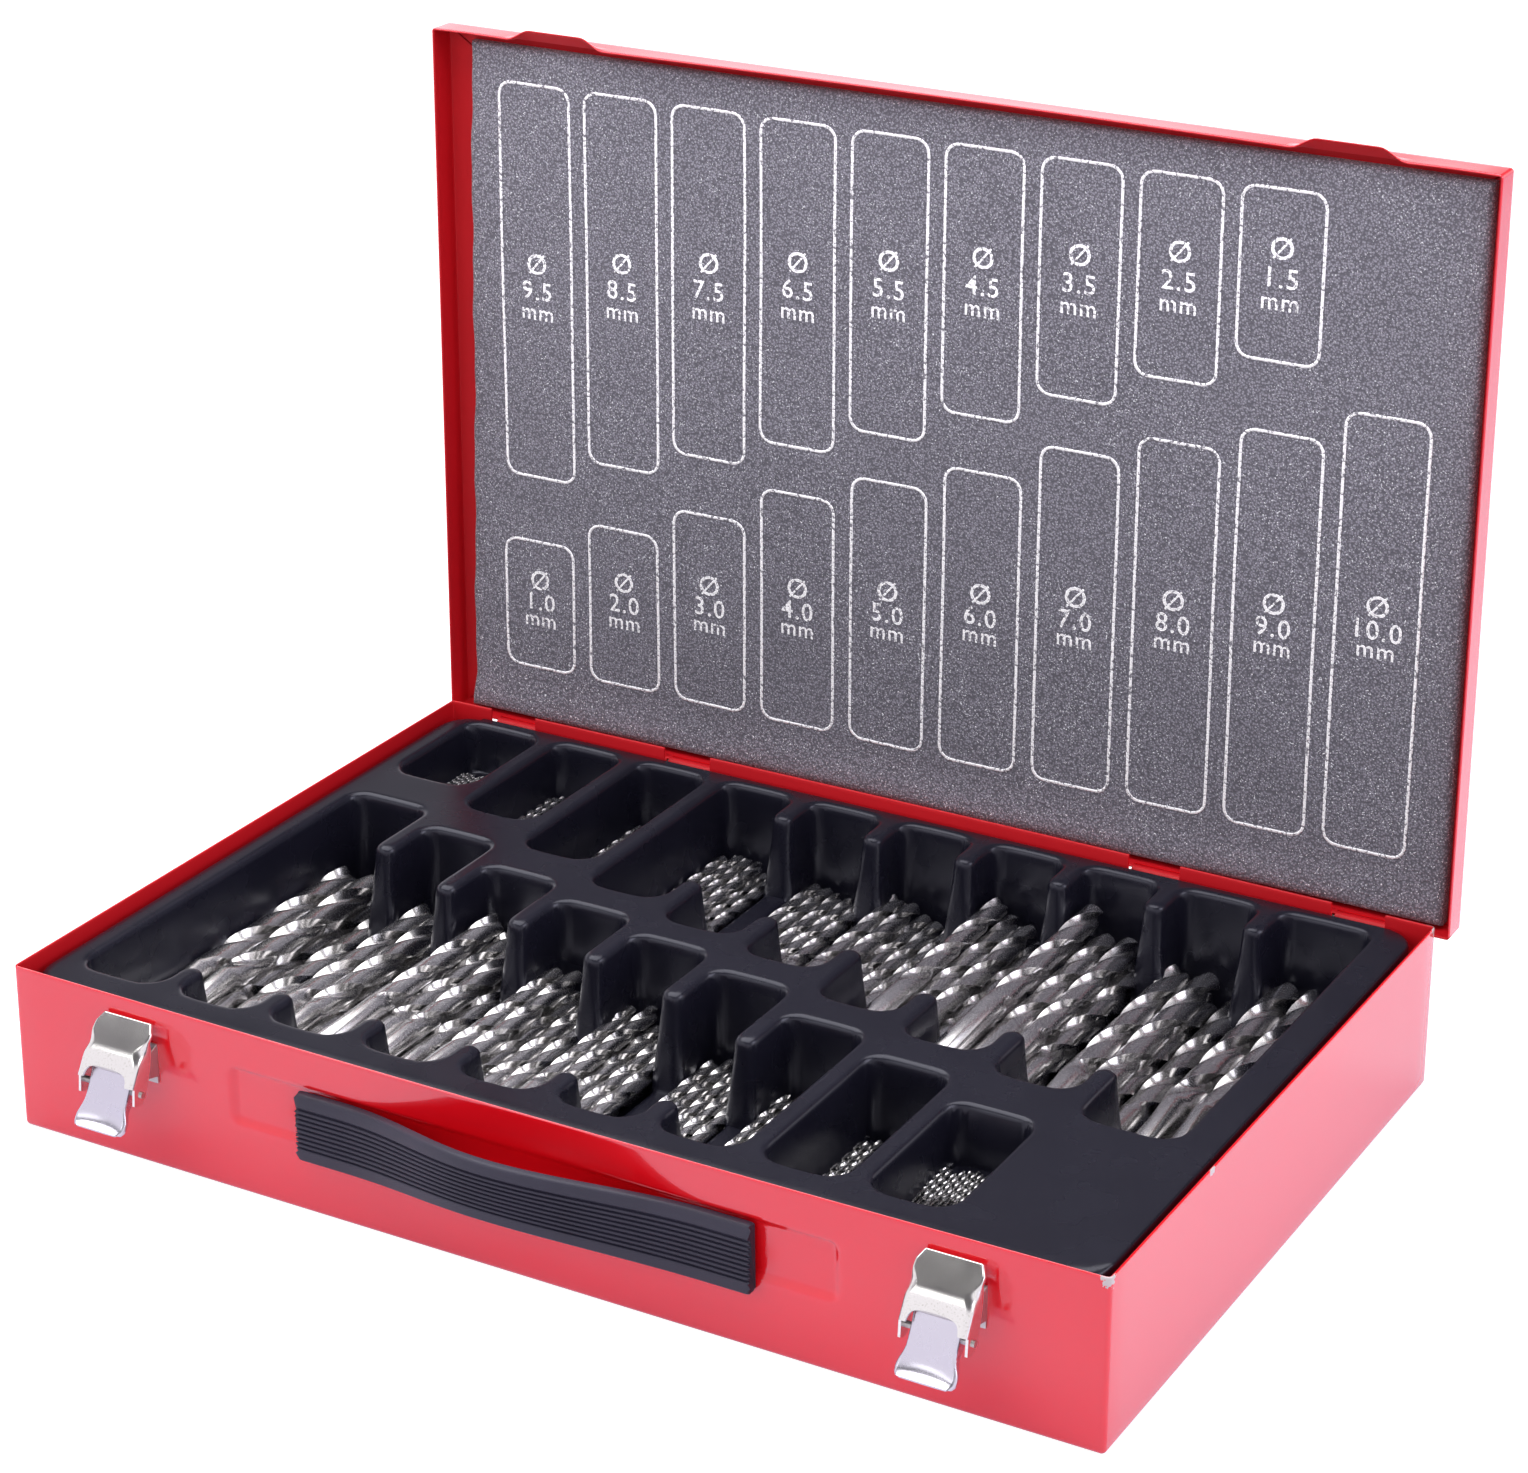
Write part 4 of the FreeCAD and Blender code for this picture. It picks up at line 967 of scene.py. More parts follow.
rows = [features[0] + o * MM for o in (0, 0.15, 0.5, 1, 1.7, 2.6)]
crowd = (-4.6, -3.5, -2.6, -1.9, -1.3, -0.8, -0.4, -0.1, 0.1, 0.4, 0.8, 1.3, 1.9, 2.6, 3.5, 4.6)
reach = crowd[-1] * MM
for k in range(1, 9):
    gap_low = np.minimum((features[k] - features[k - 1]) / 2.2, reach) / reach
    gap_high = np.minimum((features[k + 1] - features[k]) / 2.2, reach) / reach
    start = features[k] + crowd[0] * MM * gap_low
    previous = rows[-1]
    fill = max(2, int(np.max(start - previous) / (4.5 * MM)))
    rows.extend(previous + (start - previous) * j / fill for j in range(1, fill))
    rows.extend(features[k] + c * MM * (gap_low if c < 0 else gap_high) for c in crowd)
end = features[9] - 2.6 * MM
rows.extend(np.maximum(features[9] - o * MM, rows[-1]) for o in (2.6, 1.7, 1, 0.5, 0.15, 0))
y_grid = np.array(rows)
x_grid = np.broadcast_to(x_lines, y_grid.shape).copy()
print("tray grid:", y_grid.shape)


# %% Round the grid's own corners, lift it to the surface and close it with a skirt
def rounded_deck(x, y):
    """Bend the outermost lines of the grid round the deck's corners."""
    cx = np.where(x < 0, tray_low.x + DECK_CORNER, tray_high.x - DECK_CORNER)
    cy = np.where(y < 0, tray_low.y + DECK_CORNER, tray_high.y - DECK_CORNER)
    a = np.where(x < 0, cx - x, x - cx)
    b = np.where(y < 0, cy - y, y - cy)
    both = (a > 0) & (b > 0)
    a_in, b_in = np.maximum(a, 0), np.maximum(b, 0)
    reach = np.maximum(a_in, b_in)
    size = np.maximum(np.hypot(a_in, b_in), 1e-9)
    outer = np.clip((reach / DECK_CORNER - 0.6) / 0.4, 0, 1)
    share = np.where(both, 1 + (reach / size - 1) * outer, 1.0)
    new_x = np.where(both, cx + np.sign(x) * a_in * share, x)
    new_y = np.where(both, cy + np.sign(y) * b_in * share, y)
    return new_x, new_y


x_grid, y_grid = rounded_deck(x_grid, y_grid)
edge_distance = inside_distance(x_grid, y_grid, tray_low.x, tray_high.x, tray_low.y, tray_high.y, DECK_CORNER)
wide = (x_grid < tray_low.x + 12 * MM) | (y_grid < tray_low.y + 8 * MM)
roll_radius = np.where(wide, WIDE_ROLL, DECK_ROLL)
roll = np.clip(roll_radius - edge_distance, 0, roll_radius)
deck_drop = roll_radius - np.sqrt(np.maximum(roll_radius ** 2 - roll ** 2, 0))
z_grid = tray_top - tray_depth(x_grid, y_grid) - deck_drop
n_rows, n_columns = z_grid.shape
vertices = np.stack([x_grid.ravel(), y_grid.ravel(), z_grid.ravel()], axis=1).tolist()
index = np.arange(n_rows * n_columns).reshape(n_rows, n_columns)
faces = np.stack([index[:-1, :-1].ravel(), index[:-1, 1:].ravel(), index[1:, 1:].ravel(),
                  index[1:, :-1].ravel()], axis=1).tolist()
border = list(index[0, :]) + list(index[1:, -1]) + list(index[-1, -2::-1]) + list(index[-2:0:-1, 0])
previous = [int(i) for i in border]
under = ((0.0, tray_top - 3.6 * MM), (0.25, tray_top - 4.2 * MM), (1.0, tray_top - 4.3 * MM), (1.03, tray_low.z))
for share, z in under:
    ring = []
    for i in border:
        x, y, _ = vertices[int(i)]
        inset_y = 6 * MM if y < 0 else 1.5 * MM
        ring.append(len(vertices))
        vertices.append((x - math.copysign(3 * MM, x) * share * min(1, abs(x) / (150 * MM)),
                         y - math.copysign(inset_y, y) * share * min(1, abs(y) / (90 * MM)), z))
    count = len(ring)
    faces.extend((previous[k], ring[k], ring[(k + 1) % count], previous[(k + 1) % count]) for k in range(count))
    previous = ring
faces.append(tuple(reversed(previous)))
formed_tray = add_piece("formed_tray", vertices, faces, tray_plastic, 50)
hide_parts("tray")
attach(formed_tray, "base")

# %% [markdown]
# ## Twist drills
# One drill is a stack of rings. Along the flutes each ring is a round with two hollows, and it turns a
# little further than the last, so the hollows become a helix. Past the flutes the shank is plain, and at
# the other end the rings shrink to a point of 118 degrees.

# %% Build one drill
RING_POINTS = 32
POINT_ANGLE = 118
LEAD = 5.6
LAND_SHARE = 0.54


def flute_section(turn, depth):
    """Radii round one ring of the drill, as shares of its radius; depth 0 is a plain round."""
    ring = []
    for k in range(RING_POINTS):
        a = 2 * math.pi * k / RING_POINTS
        along = (a / math.pi) % 1.0
        if along < LAND_SHARE:
            share = 1.0 - 0.035 * depth * (along > 0.07)
        else:
            t = ((along - LAND_SHARE) / (1 - LAND_SHARE)) ** 1.15
            share = 0.965 - 0.54 * depth * math.sin(math.pi * t) ** 0.85
        ring.append((a + turn, share))
    return ring


def drill_mesh(diameter, length, flute):
    """A twist drill along +Y with its shank's end at the origin, in metres."""
    radius = diameter / 2
    point = radius / math.tan(math.radians(POINT_ANGLE / 2))
    lead = LEAD * diameter
    stations = [(0.0, 0.80, 0), (0.12 * diameter, 0.985, 0), (length - flute - 0.2 * diameter, 0.985, 0)]
    steps = max(24, round(flute / lead * (36 if diameter > 4 else 24)))
    for k in range(steps + 1):
        y = length - flute + (flute - point) * k / steps
        stations.append((y, 1.0, min(1.0, k / (0.12 * steps))))
    for k in (0.35, 0.7, 0.97):
        stations.append((length - point * (1 - k), 1 - k, 1.0))
    rings = []
    for y, scale, depth in stations:
        turn = -2 * math.pi * y / lead
        rings.append([(radius * scale * share * math.cos(a) * MM, y * MM, radius * scale * share * math.sin(a) * MM)
                      for a, share in flute_section(turn, depth)])
    return loft(rings)


def islands(node):
    """The boxes of a CAD node's separate solids, as (low, high) pairs."""
    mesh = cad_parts[node].data
    work = bmesh.new()
    work.from_mesh(mesh)
    bmesh.ops.remove_doubles(work, verts=work.verts, dist=1e-6)
    unseen = set(work.verts)
    boxes = []
    while unseen:
        stack = [unseen.pop()]
        found = list(stack)
        while stack:
            for edge in stack.pop().link_edges:
                for vertex in edge.verts:
                    if vertex in unseen:
                        unseen.remove(vertex)
                        stack.append(vertex)
                        found.append(vertex)
        low = [min(v.co[i] for v in found) for i in range(3)]
        high = [max(v.co[i] for v in found) for i in range(3)]
        boxes.append((low, high))
    work.free()
    return boxes


# %% [markdown]
# Geometry Nodes repeats the drill. The point cloud is a mesh with one vertex for each drill's shank end.
# `Instance on Points` puts a drill on each, `Random Value` rolls each one by its own angle so that no two
# flutes line up, and `Realize Instances` turns them into one mesh with its own material.

# %% The node group for a pile of drills
pile = bpy.data.node_groups.new("Drill pile", "GeometryNodeTree")
pile.interface.new_socket("Points", in_out="INPUT", socket_type="NodeSocketGeometry")
drill_socket = pile.interface.new_socket("Drill", in_out="INPUT", socket_type="NodeSocketObject")
lean_socket = pile.interface.new_socket("Lean", in_out="INPUT", socket_type="NodeSocketFloat")
seed_socket = pile.interface.new_socket("Seed", in_out="INPUT", socket_type="NodeSocketInt")
steel_socket = pile.interface.new_socket("Steel", in_out="INPUT", socket_type="NodeSocketMaterial")
pile.interface.new_socket("Drills", in_out="OUTPUT", socket_type="NodeSocketGeometry")
pile_in = pile.nodes.new("NodeGroupInput")
pile_out = pile.nodes.new("NodeGroupOutput")
source = pile.nodes.new("GeometryNodeObjectInfo")
scatter = pile.nodes.new("GeometryNodeInstanceOnPoints")
roll_value = pile.nodes.new("FunctionNodeRandomValue")
roll_value.data_type = "FLOAT"
roll_value.inputs["Max"].default_value = 2 * math.pi
lean_value = pile.nodes.new("FunctionNodeRandomValue")
lean_value.data_type = "FLOAT"
minus_lean = pile.nodes.new("ShaderNodeMath")
minus_lean.operation = "MULTIPLY"
minus_lean.inputs[1].default_value = -1.0
angles = pile.nodes.new("ShaderNodeCombineXYZ")
to_rotation = pile.nodes.new("FunctionNodeEulerToRotation")
realize = pile.nodes.new("GeometryNodeRealizeInstances")
set_steel = pile.nodes.new("GeometryNodeSetMaterial")
pile.links.new(pile_in.outputs["Drill"], source.inputs["Object"])
pile.links.new(pile_in.outputs["Points"], scatter.inputs["Points"])
pile.links.new(source.outputs["Geometry"], scatter.inputs["Instance"])
pile.links.new(pile_in.outputs["Seed"], roll_value.inputs["Seed"])
pile.links.new(pile_in.outputs["Seed"], lean_value.inputs["Seed"])
pile.links.new(pile_in.outputs["Lean"], minus_lean.inputs[0])
pile.links.new(minus_lean.outputs[0], lean_value.inputs[2])
pile.links.new(pile_in.outputs["Lean"], lean_value.inputs[3])
pile.links.new(roll_value.outputs[1], angles.inputs["Y"])
pile.links.new(lean_value.outputs[1], angles.inputs["Z"])
pile.links.new(angles.outputs[0], to_rotation.inputs[0])
pile.links.new(to_rotation.outputs[0], scatter.inputs["Rotation"])
pile.links.new(scatter.outputs["Instances"], realize.inputs["Geometry"])
pile.links.new(realize.outputs["Geometry"], set_steel.inputs["Geometry"])
pile.links.new(pile_in.outputs["Steel"], set_steel.inputs["Material"])
pile.links.new(set_steel.outputs["Geometry"], pile_out.inputs["Drills"])


# %% Fill the compartments
def plain_mesh(obj, name):
    """The evaluated mesh of an object as a new plain object; the old one is removed."""
    bpy.context.view_layer.update()
    evaluated = obj.evaluated_get(bpy.context.evaluated_depsgraph_get())
    mesh = bpy.data.meshes.new_from_object(evaluated)
    mesh.name = name
    made = bpy.data.objects.new(name, mesh)
    bpy.context.scene.collection.objects.link(made)
    bpy.data.objects.remove(obj)
    return made


dice = random.Random(11)
for number, room in enumerate(rooms):
    node = node_name(room["diameter"])
    vertices, faces = drill_mesh(room["diameter"], room["length"], room["flute"])
    pattern = add_piece("pattern_" + node, vertices, faces, drill_steel, 52)
    points = bpy.data.meshes.new("points_" + node)
    places = []
    for low, high in islands(node):
        slack = 0.18 * (room["rear"] - room["front"] - room["length"] * MM)
        places.append(((low[0] + high[0]) / 2, low[1] + dice.uniform(-slack, slack), (low[2] + high[2]) / 2))
    points.from_pydata(places, [], [])
    holder = bpy.data.objects.new("holder_" + node, points)
    bpy.context.scene.collection.objects.link(holder)
    modifier = holder.modifiers.new("pile", "NODES")
    modifier.node_group = pile
    modifier[drill_socket.identifier] = pattern
    modifier[lean_socket.identifier] = 0.004
    modifier[seed_socket.identifier] = 31 + number
    modifier[steel_socket.identifier] = drill_steel
    drills = plain_mesh(holder, "twist_" + node)
    drills.data.set_sharp_from_angle(angle=math.radians(52))
    bpy.data.objects.remove(pattern)
    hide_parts(node)
    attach(drills, "base")
print("drills placed:", sum(len(islands(node_name(room["diameter"]))) for room in rooms))

# %% [markdown]
# ## Foam
# The lid is lined with a slab of foam, cut a little out of square and glued in. Its face is not quite flat
# and its cut edges are soft, so its front is a grid that rolls back at the border. Along the hinge it is
# squeezed in behind the rear wall and bulges forward.

# %% The foam slab
FOAM_ROLL = 2.2 * MM
foam_top = foam_high.z
foam_bottom = foam_low.z - 5.2 * MM


def foam_left(z):
    """The slab's left edge leans a little: it stands further out at the bottom."""
    return -179.3 * MM + 4.8 * MM * (z - 55 * MM) / (235 * MM)


def foam_face(x, z):
    """How far the foam's face lies behind its frontmost plane."""
    waves = 0.28 * math.sin(x * 31 + 1) * math.sin(z * 37 + 2) + 0.16 * math.sin(x * 83 + z * 57)
    wobble = 0.5 * MM * math.sin(z * 120) + 0.4 * MM * math.sin(z * 310 + 1)
    sides = min(x - foam_left(z) - wobble * 0.5, foam_high.x - x)
    ends = min(z - foam_bottom, foam_top - z)
    edge = max(0.0, min(sides, ends))
    back = 0.0
    if edge < FOAM_ROLL:
        back = FOAM_ROLL - math.sqrt(FOAM_ROLL ** 2 - (FOAM_ROLL - edge) ** 2)
    bulge = 1.5 * MM * smoothstep((foam_bottom + 12 * MM - z) / (7 * MM))
    return back + (waves + 0.44) * MM * 0.8 - bulge


across_lines = [0, 0.0004, 0.0015, 0.0035, 0.006] + [k / 90 for k in range(1, 90)] + [0.994, 0.9965, 0.9985, 0.9996, 1]
up_lines = [0, 0.0006, 0.0022, 0.005, 0.009] + [k / 60 for k in range(1, 60)] + [0.991, 0.995, 0.9978, 0.9994, 1]
vertices, grid = [], []
for v in up_lines:
    z = foam_bottom + (foam_top - foam_bottom) * v
    row = []
    for u in across_lines:
        start = foam_left(z) + 0.25 * MM * math.sin(z * 120)
        x = start + (foam_high.x - start) * u
        row.append(len(vertices))
        vertices.append((x, foam_low.y + foam_face(x, z), z))
    grid.append(row)
faces = [(grid[r][c], grid[r][c + 1], grid[r + 1][c + 1], grid[r + 1][c])
         for r in range(len(grid) - 1) for c in range(len(grid[0]) - 1)]
border = grid[0] + [row[-1] for row in grid[1:]] + grid[-1][-2::-1] + [row[0] for row in grid[-2:0:-1]]
back = []
for i in border:
    x, y, z = vertices[i]
    back.append(len(vertices))
    vertices.append((x, foam_high.y, z))
count = len(border)
faces.extend((border[k], border[(k + 1) % count], back[(k + 1) % count], back[k]) for k in range(count))
faces.append(tuple(back))
foam_slab = add_piece("foam_slab", vertices, faces, foam_grey, 60)
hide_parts("lid_foam")
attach(foam_slab, "lid")
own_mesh(foam_slab)

# %% [markdown]
# ## Print on the foam
# The foam mirrors the tray below it: one printed outline for each compartment, with the drill size inside.
# Each outline starts as a plain rectangle curve. Geometry Nodes rounds its corners and gives it a ribbon's
# width, and the ribbon is then laid on the foam's uneven face.

# %% The outlines' places
top_bottoms = {9.5: 140.2, 8.5: 149.6, 7.5: 158.8, 6.5: 168.6, 5.5: 178.2, 4.5: 190.1, 3.5: 201.7, 2.5: 213.4,
               1.5: 224.7}
bottom_tops = {1.0: 116.5, 2.0: 127.0, 3.0: 138.4, 4.0: 152.0, 5.0: 162.0, 6.0: 171.5, 7.0: 184.5, 8.0: 193.3,
               9.0: 202.0, 10.0: 213.0}
PRINT_PITCH = 33.6 * MM
outlines = []
for column, (diameter, low_z) in enumerate(top_bottoms.items()):
    centre = -149.4 * MM + column * 33.28 * MM
    outlines.append((diameter, centre - 13.6 * MM, centre + 13.6 * MM, low_z * MM, 277.6 * MM + column * 0.15 * MM))
for column, (diameter, high_z) in enumerate(bottom_tops.items()):
    centre = -150.6 * MM + column * 33.83 * MM
    outlines.append((diameter, centre - 13.6 * MM, centre + 13.6 * MM, 69.9 * MM, high_z * MM))
print("outlines:", len(outlines))

# %% The node group for one outline
ribbon = bpy.data.node_groups.new("Printed outline", "GeometryNodeTree")
ribbon.interface.new_socket("Curve", in_out="INPUT", socket_type="NodeSocketGeometry")
corner_socket = ribbon.interface.new_socket("Corner", in_out="INPUT", socket_type="NodeSocketFloat")
width_socket = ribbon.interface.new_socket("Line width", in_out="INPUT", socket_type="NodeSocketFloat")
ink_socket = ribbon.interface.new_socket("Ink", in_out="INPUT", socket_type="NodeSocketMaterial")
ribbon.interface.new_socket("Outline", in_out="OUTPUT", socket_type="NodeSocketGeometry")
ribbon_in = ribbon.nodes.new("NodeGroupInput")
ribbon_out = ribbon.nodes.new("NodeGroupOutput")
fillet = ribbon.nodes.new("GeometryNodeFilletCurve")
fillet.mode = "POLY"
fillet.inputs["Count"].default_value = 6
resample = ribbon.nodes.new("GeometryNodeResampleCurve")
resample.mode = "LENGTH"
resample.inputs["Length"].default_value = 1.5 * MM
half_line = ribbon.nodes.new("ShaderNodeMath")
half_line.operation = "MULTIPLY"
half_line.inputs[1].default_value = 0.5
section = ribbon.nodes.new("GeometryNodeCurvePrimitiveCircle")
section.inputs["Resolution"].default_value = 6
sweep = ribbon.nodes.new("GeometryNodeCurveToMesh")
realize = ribbon.nodes.new("GeometryNodeRealizeInstances")
set_ink = ribbon.nodes.new("GeometryNodeSetMaterial")
ribbon.links.new(ribbon_in.outputs["Curve"], fillet.inputs["Curve"])
ribbon.links.new(ribbon_in.outputs["Corner"], fillet.inputs["Radius"])
ribbon.links.new(fillet.outputs["Curve"], resample.inputs["Curve"])
ribbon.links.new(resample.outputs["Curve"], sweep.inputs["Curve"])
ribbon.links.new(ribbon_in.outputs["Line width"], half_line.inputs[0])
ribbon.links.new(half_line.outputs[0], section.inputs["Radius"])
ribbon.links.new(section.outputs["Curve"], sweep.inputs["Profile Curve"])
ribbon.links.new(sweep.outputs["Mesh"], realize.inputs["Geometry"])
ribbon.links.new(realize.outputs["Geometry"], set_ink.inputs["Geometry"])
ribbon.links.new(ribbon_in.outputs["Ink"], set_ink.inputs["Material"])
ribbon.links.new(set_ink.outputs["Geometry"], ribbon_out.inputs["Outline"])

# %% Draw all outlines as one curve object and lay them on the foam
INK_RISE = 0.10 * MM
curve = bpy.data.curves.new("outline_curve", "CURVE")
curve.dimensions = "3D"
for diameter, left, right, low_z, high_z in outlines:
    spline = curve.splines.new("POLY")
    spline.points.add(3)
    for point, (x, z) in zip(spline.points, ((left, low_z), (right, low_z), (right, high_z), (left, high_z))):
        point.co = (x, 0.0, z, 1.0)
    spline.use_cyclic_u = True
holder = bpy.data.objects.new("outline_holder", curve)
bpy.context.scene.collection.objects.link(holder)
modifier = holder.modifiers.new("outline", "NODES")
modifier.node_group = ribbon
modifier[corner_socket.identifier] = 4.5 * MM
modifier[width_socket.identifier] = 1.1 * MM
modifier[ink_socket.identifier] = foam_ink
print_lines = plain_mesh(holder, "foam_outlines")
for vertex in print_lines.data.vertices:
    x, y, z = vertex.co
    vertex.co.y = foam_low.y + foam_face(x, z) - INK_RISE + y * 0.25
if not print_lines.data.materials:
    print_lines.data.materials.append(foam_ink)
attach(print_lines, "lid")
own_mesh(print_lines)
print("outline faces:", len(print_lines.data.polygons))


# %% Letter the outlines
def lettering(text, x, z, height):
    """The faces of one line of text, centred at x with its middle at z, laid on the foam."""
    font = bpy.data.curves.new("text", "FONT")
    font.body = text
    font.size = height / 0.62
    font.space_character = 1.12
    font.align_x = "CENTER"
    font.align_y = "CENTER"
    font.offset = 0.00004
    font.extrude = 0.03 * MM
    font.resolution_u = 3
    holder = bpy.data.objects.new("text_holder", font)
    bpy.context.scene.collection.objects.link(holder)
    made = plain_mesh(holder, "text_mesh")
    points = []
    for vertex in made.data.vertices:
        px, pz = x + vertex.co.x, z + vertex.co.y
        points.append((px, foam_low.y + foam_face(px, pz) - INK_RISE * 0.8 - vertex.co.z, pz))
    faces = [tuple(p.vertices) for p in made.data.polygons]
    bpy.data.objects.remove(made)
    return points, faces


parts = []
for diameter, left, right, low_z, high_z in outlines:
    x = (left + right) / 2
    if diameter in top_bottoms:
        z = (239.4 + 0.176 * x / MM + 2.6 * max(0.0, (-16 - x / MM) / 133) ** 1.4) * MM
        gaps = (0, -9.2 * MM, -16.6 * MM)
    else:
        z = (126.5 + 0.163 * x / MM) * MM
        gaps = (0, -7.8 * MM, -14.2 * MM)
    parts.append(lettering("Ø", x, z + gaps[0], 6.2 * MM))
    parts.append(lettering("%.1f" % diameter, x, z + gaps[1], 5.6 * MM))
    parts.append(lettering("mm", x, z + gaps[2], 5.0 * MM))
print_text = add_piece("foam_sizes", *joined(parts), foam_ink, 30)
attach(print_text, "lid")
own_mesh(print_text)

# %% [markdown]
# ## Handle
# The grip is a bowed, moulded strip. Its section has fine ridges for the fingers, a plain strip along the
# top and a thick round lower edge. The section is swept along the handle's bow, which is read off the CAD
# solid: flat ends, and a middle that stands out and rises a little.

# %% Sweep the grip
GRIP_HALF = 76 * MM
FLAT_END = 62 * MM
BOW = 16.6 * MM
GRIP_THICK = 3.7 * MM
END_HEIGHT, MIDDLE_HEIGHT = 22 * MM, 18.5 * MM
END_CENTRE, LIFT = 30 * MM, 8 * MM
RIDGES = 9


def grip_share(x):
    """How far the handle has risen from its end to its middle, from 0 to 1."""
    share = min(1.0, max(0.0, (FLAT_END - abs(x)) / FLAT_END))
    return (1 - math.cos(math.pi * share)) / 2


def grip_section():
    """The section as (out, up): out in metres from the strip's middle, up from -1 to 1 of half its height."""
    points = []
    for k in range(9):
        a = math.radians(-90 + 180 * k / 8)
        points.append((-GRIP_THICK / 2 + 0.25 * MM * (1 - math.cos(a)), 0.9 * math.sin(a)))
    points = [(-GRIP_THICK / 2 + 0.5 * MM, -1.0), (-GRIP_THICK / 2, -0.90), (-GRIP_THICK / 2, 0.92),
              (-GRIP_THICK / 2 + 0.6 * MM, 0.99)]
    points += [(0.4 * MM, 1.0), (GRIP_THICK / 2 - 0.7 * MM, 0.97), (GRIP_THICK / 2 - 0.2 * MM, 0.90),
               (GRIP_THICK / 2 - 0.1 * MM, 0.62)]
    low, high = -0.72, 0.56
    for k in range(RIDGES):
        start = high - (high - low) * k / RIDGES
        step = (high - low) / RIDGES
        for share, sink in ((0.06, 0.55), (0.22, 0.62), (0.36, 0.12), (0.62, 0.0), (0.86, 0.12)):
            points.append((GRIP_THICK / 2 - 0.05 * MM - sink * MM * 1.2, start - step * share))
    points += [(GRIP_THICK / 2, -0.80), (GRIP_THICK / 2 - 0.1 * MM, -0.93), (GRIP_THICK / 2 - 0.9 * MM, -1.0)]
    return points


grip_middle = -half_depth - 0.3 * MM - GRIP_THICK / 2
section_points = grip_section()
stations = [-GRIP_HALF + o * MM for o in (0, 0.15, 0.5, 1.1, 2.0)] + spaced(-73 * MM, 73 * MM, 1.9 * MM)
stations += [GRIP_HALF - o * MM for o in (2.0, 1.1, 0.5, 0.15, 0)]
rings = []
for x in stations:
    share = grip_share(x)
    inset = max(0.0, 1.1 * MM - (GRIP_HALF - abs(x))) / (1.1 * MM)
    shrink = 1 - 0.03 * inset ** 2
    thin = 1 - 0.12 * inset ** 3
    slope = (grip_share(x + 0.1 * MM) - grip_share(x - 0.1 * MM)) / (0.2 * MM) * BOW
    size = math.hypot(1, slope)
    height = END_HEIGHT + (MIDDLE_HEIGHT - END_HEIGHT) * share
    centre = END_CENTRE + LIFT * share
    ring = []
    for number, (out, up) in enumerate(section_points):
        push = out * thin
        ragged = 0.55 * MM * inset * math.sin(number * 2.4 + x * 40) * (1 if x < 0 else -1)
        ring.append((x + ragged - slope / size * push, grip_middle - BOW * share - push / size,
                     centre + up * shrink * height / 2))
    rings.append(ring)
grip = add_piece("moulded_grip", *loft(rings), grip_plastic, 40)
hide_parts("handle_grip")
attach(grip, "handle")

# %% [markdown]
# ## Latches
# Claw and lever are each pressed from one sheet, so each is a grid of points: rows run up the latch, and
# every row crosses it from one flange over the round fold to the plate and down the other side. Places are
# measured in the latch's own tilted plane, out from the lever's pin and up along the latch.

# %% The latch's own plane
LATCH_TILT = math.radians(30)
LATCH_HALF = 10.4 * MM
BEND_UP = 4.84 * MM
TIP_UP = 15.7 * MM
CLAW_OUT = 3.0 * MM
CLAW_LEAN = 3.44 * MM
CLAW_FOOT = -4.3 * MM
pin_low, pin_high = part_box("latch_lever_pin_right")
pin_y, pin_z = (pin_low.y + pin_high.y) / 2, (pin_low.z + pin_high.z) / 2


def latch_point(x, out, up):
    """A point of the tilted latch."""
    return (x, pin_y - out * math.cos(LATCH_TILT) + up * math.sin(LATCH_TILT),
            pin_z + out * math.sin(LATCH_TILT) + up * math.cos(LATCH_TILT))


def along_line(value, points):
    """Linear interpolation in a table of (value, result...) rows."""
    if value <= points[0][0]:
        return points[0][1:]
    for low, high in zip(points, points[1:]):
        if value <= high[0]:
            t = (value - low[0]) / (high[0] - low[0])
            return tuple(a + (b - a) * t for a, b in zip(low[1:], high[1:]))
    return points[-1][1:]


def pressed(name, grid, node, body, material):
    """Turn a grid of points into sheet metal with soft cut edges, which stands for a CAD node."""
    rows, columns = len(grid), len(grid[0])
    mesh = bpy.data.meshes.new(name)
    faces = [(r * columns + c, r * columns + c + 1, (r + 1) * columns + c + 1, (r + 1) * columns + c)
             for r in range(rows - 1) for c in range(columns - 1)]
    mesh.from_pydata([point for row in grid for point in row], [], faces)
    work = bmesh.new()
    work.from_mesh(mesh)
    bmesh.ops.remove_doubles(work, verts=work.verts, dist=5e-6)
    bmesh.ops.dissolve_degenerate(work, edges=work.edges, dist=2e-6)
    work.faces.ensure_lookup_table()
    if sum(face.normal.y * face.calc_area() for face in work.faces) > 0:
        bmesh.ops.reverse_faces(work, faces=work.faces)
    work.to_mesh(mesh)
    work.free()
    mesh.shade_smooth()
    mesh.materials.append(material)
    holder = bpy.data.objects.new("holder_" + name, mesh)
    bpy.context.scene.collection.objects.link(holder)
    thickness = holder.modifiers.new("sheet", "SOLIDIFY")
    thickness.thickness = SHEET
    thickness.offset = -1
    rounds = holder.modifiers.new("rounds", "BEVEL")
    rounds.limit_method = "ANGLE"
    rounds.angle_limit = math.radians(62)
    rounds.width = 0.13 * MM
    rounds.segments = 2
    rounds.harden_normals = True
    obj = plain_mesh(holder, name)
    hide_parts(node)
    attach(obj, body)
    print(name, len(obj.data.polygons), "faces")


# %% [markdown]
# The fold's radius changes along the claw: small at the tip and wide at the bend, so that the top plate ends
# in slanting corners. The foot of the front plate is arched for the lever.

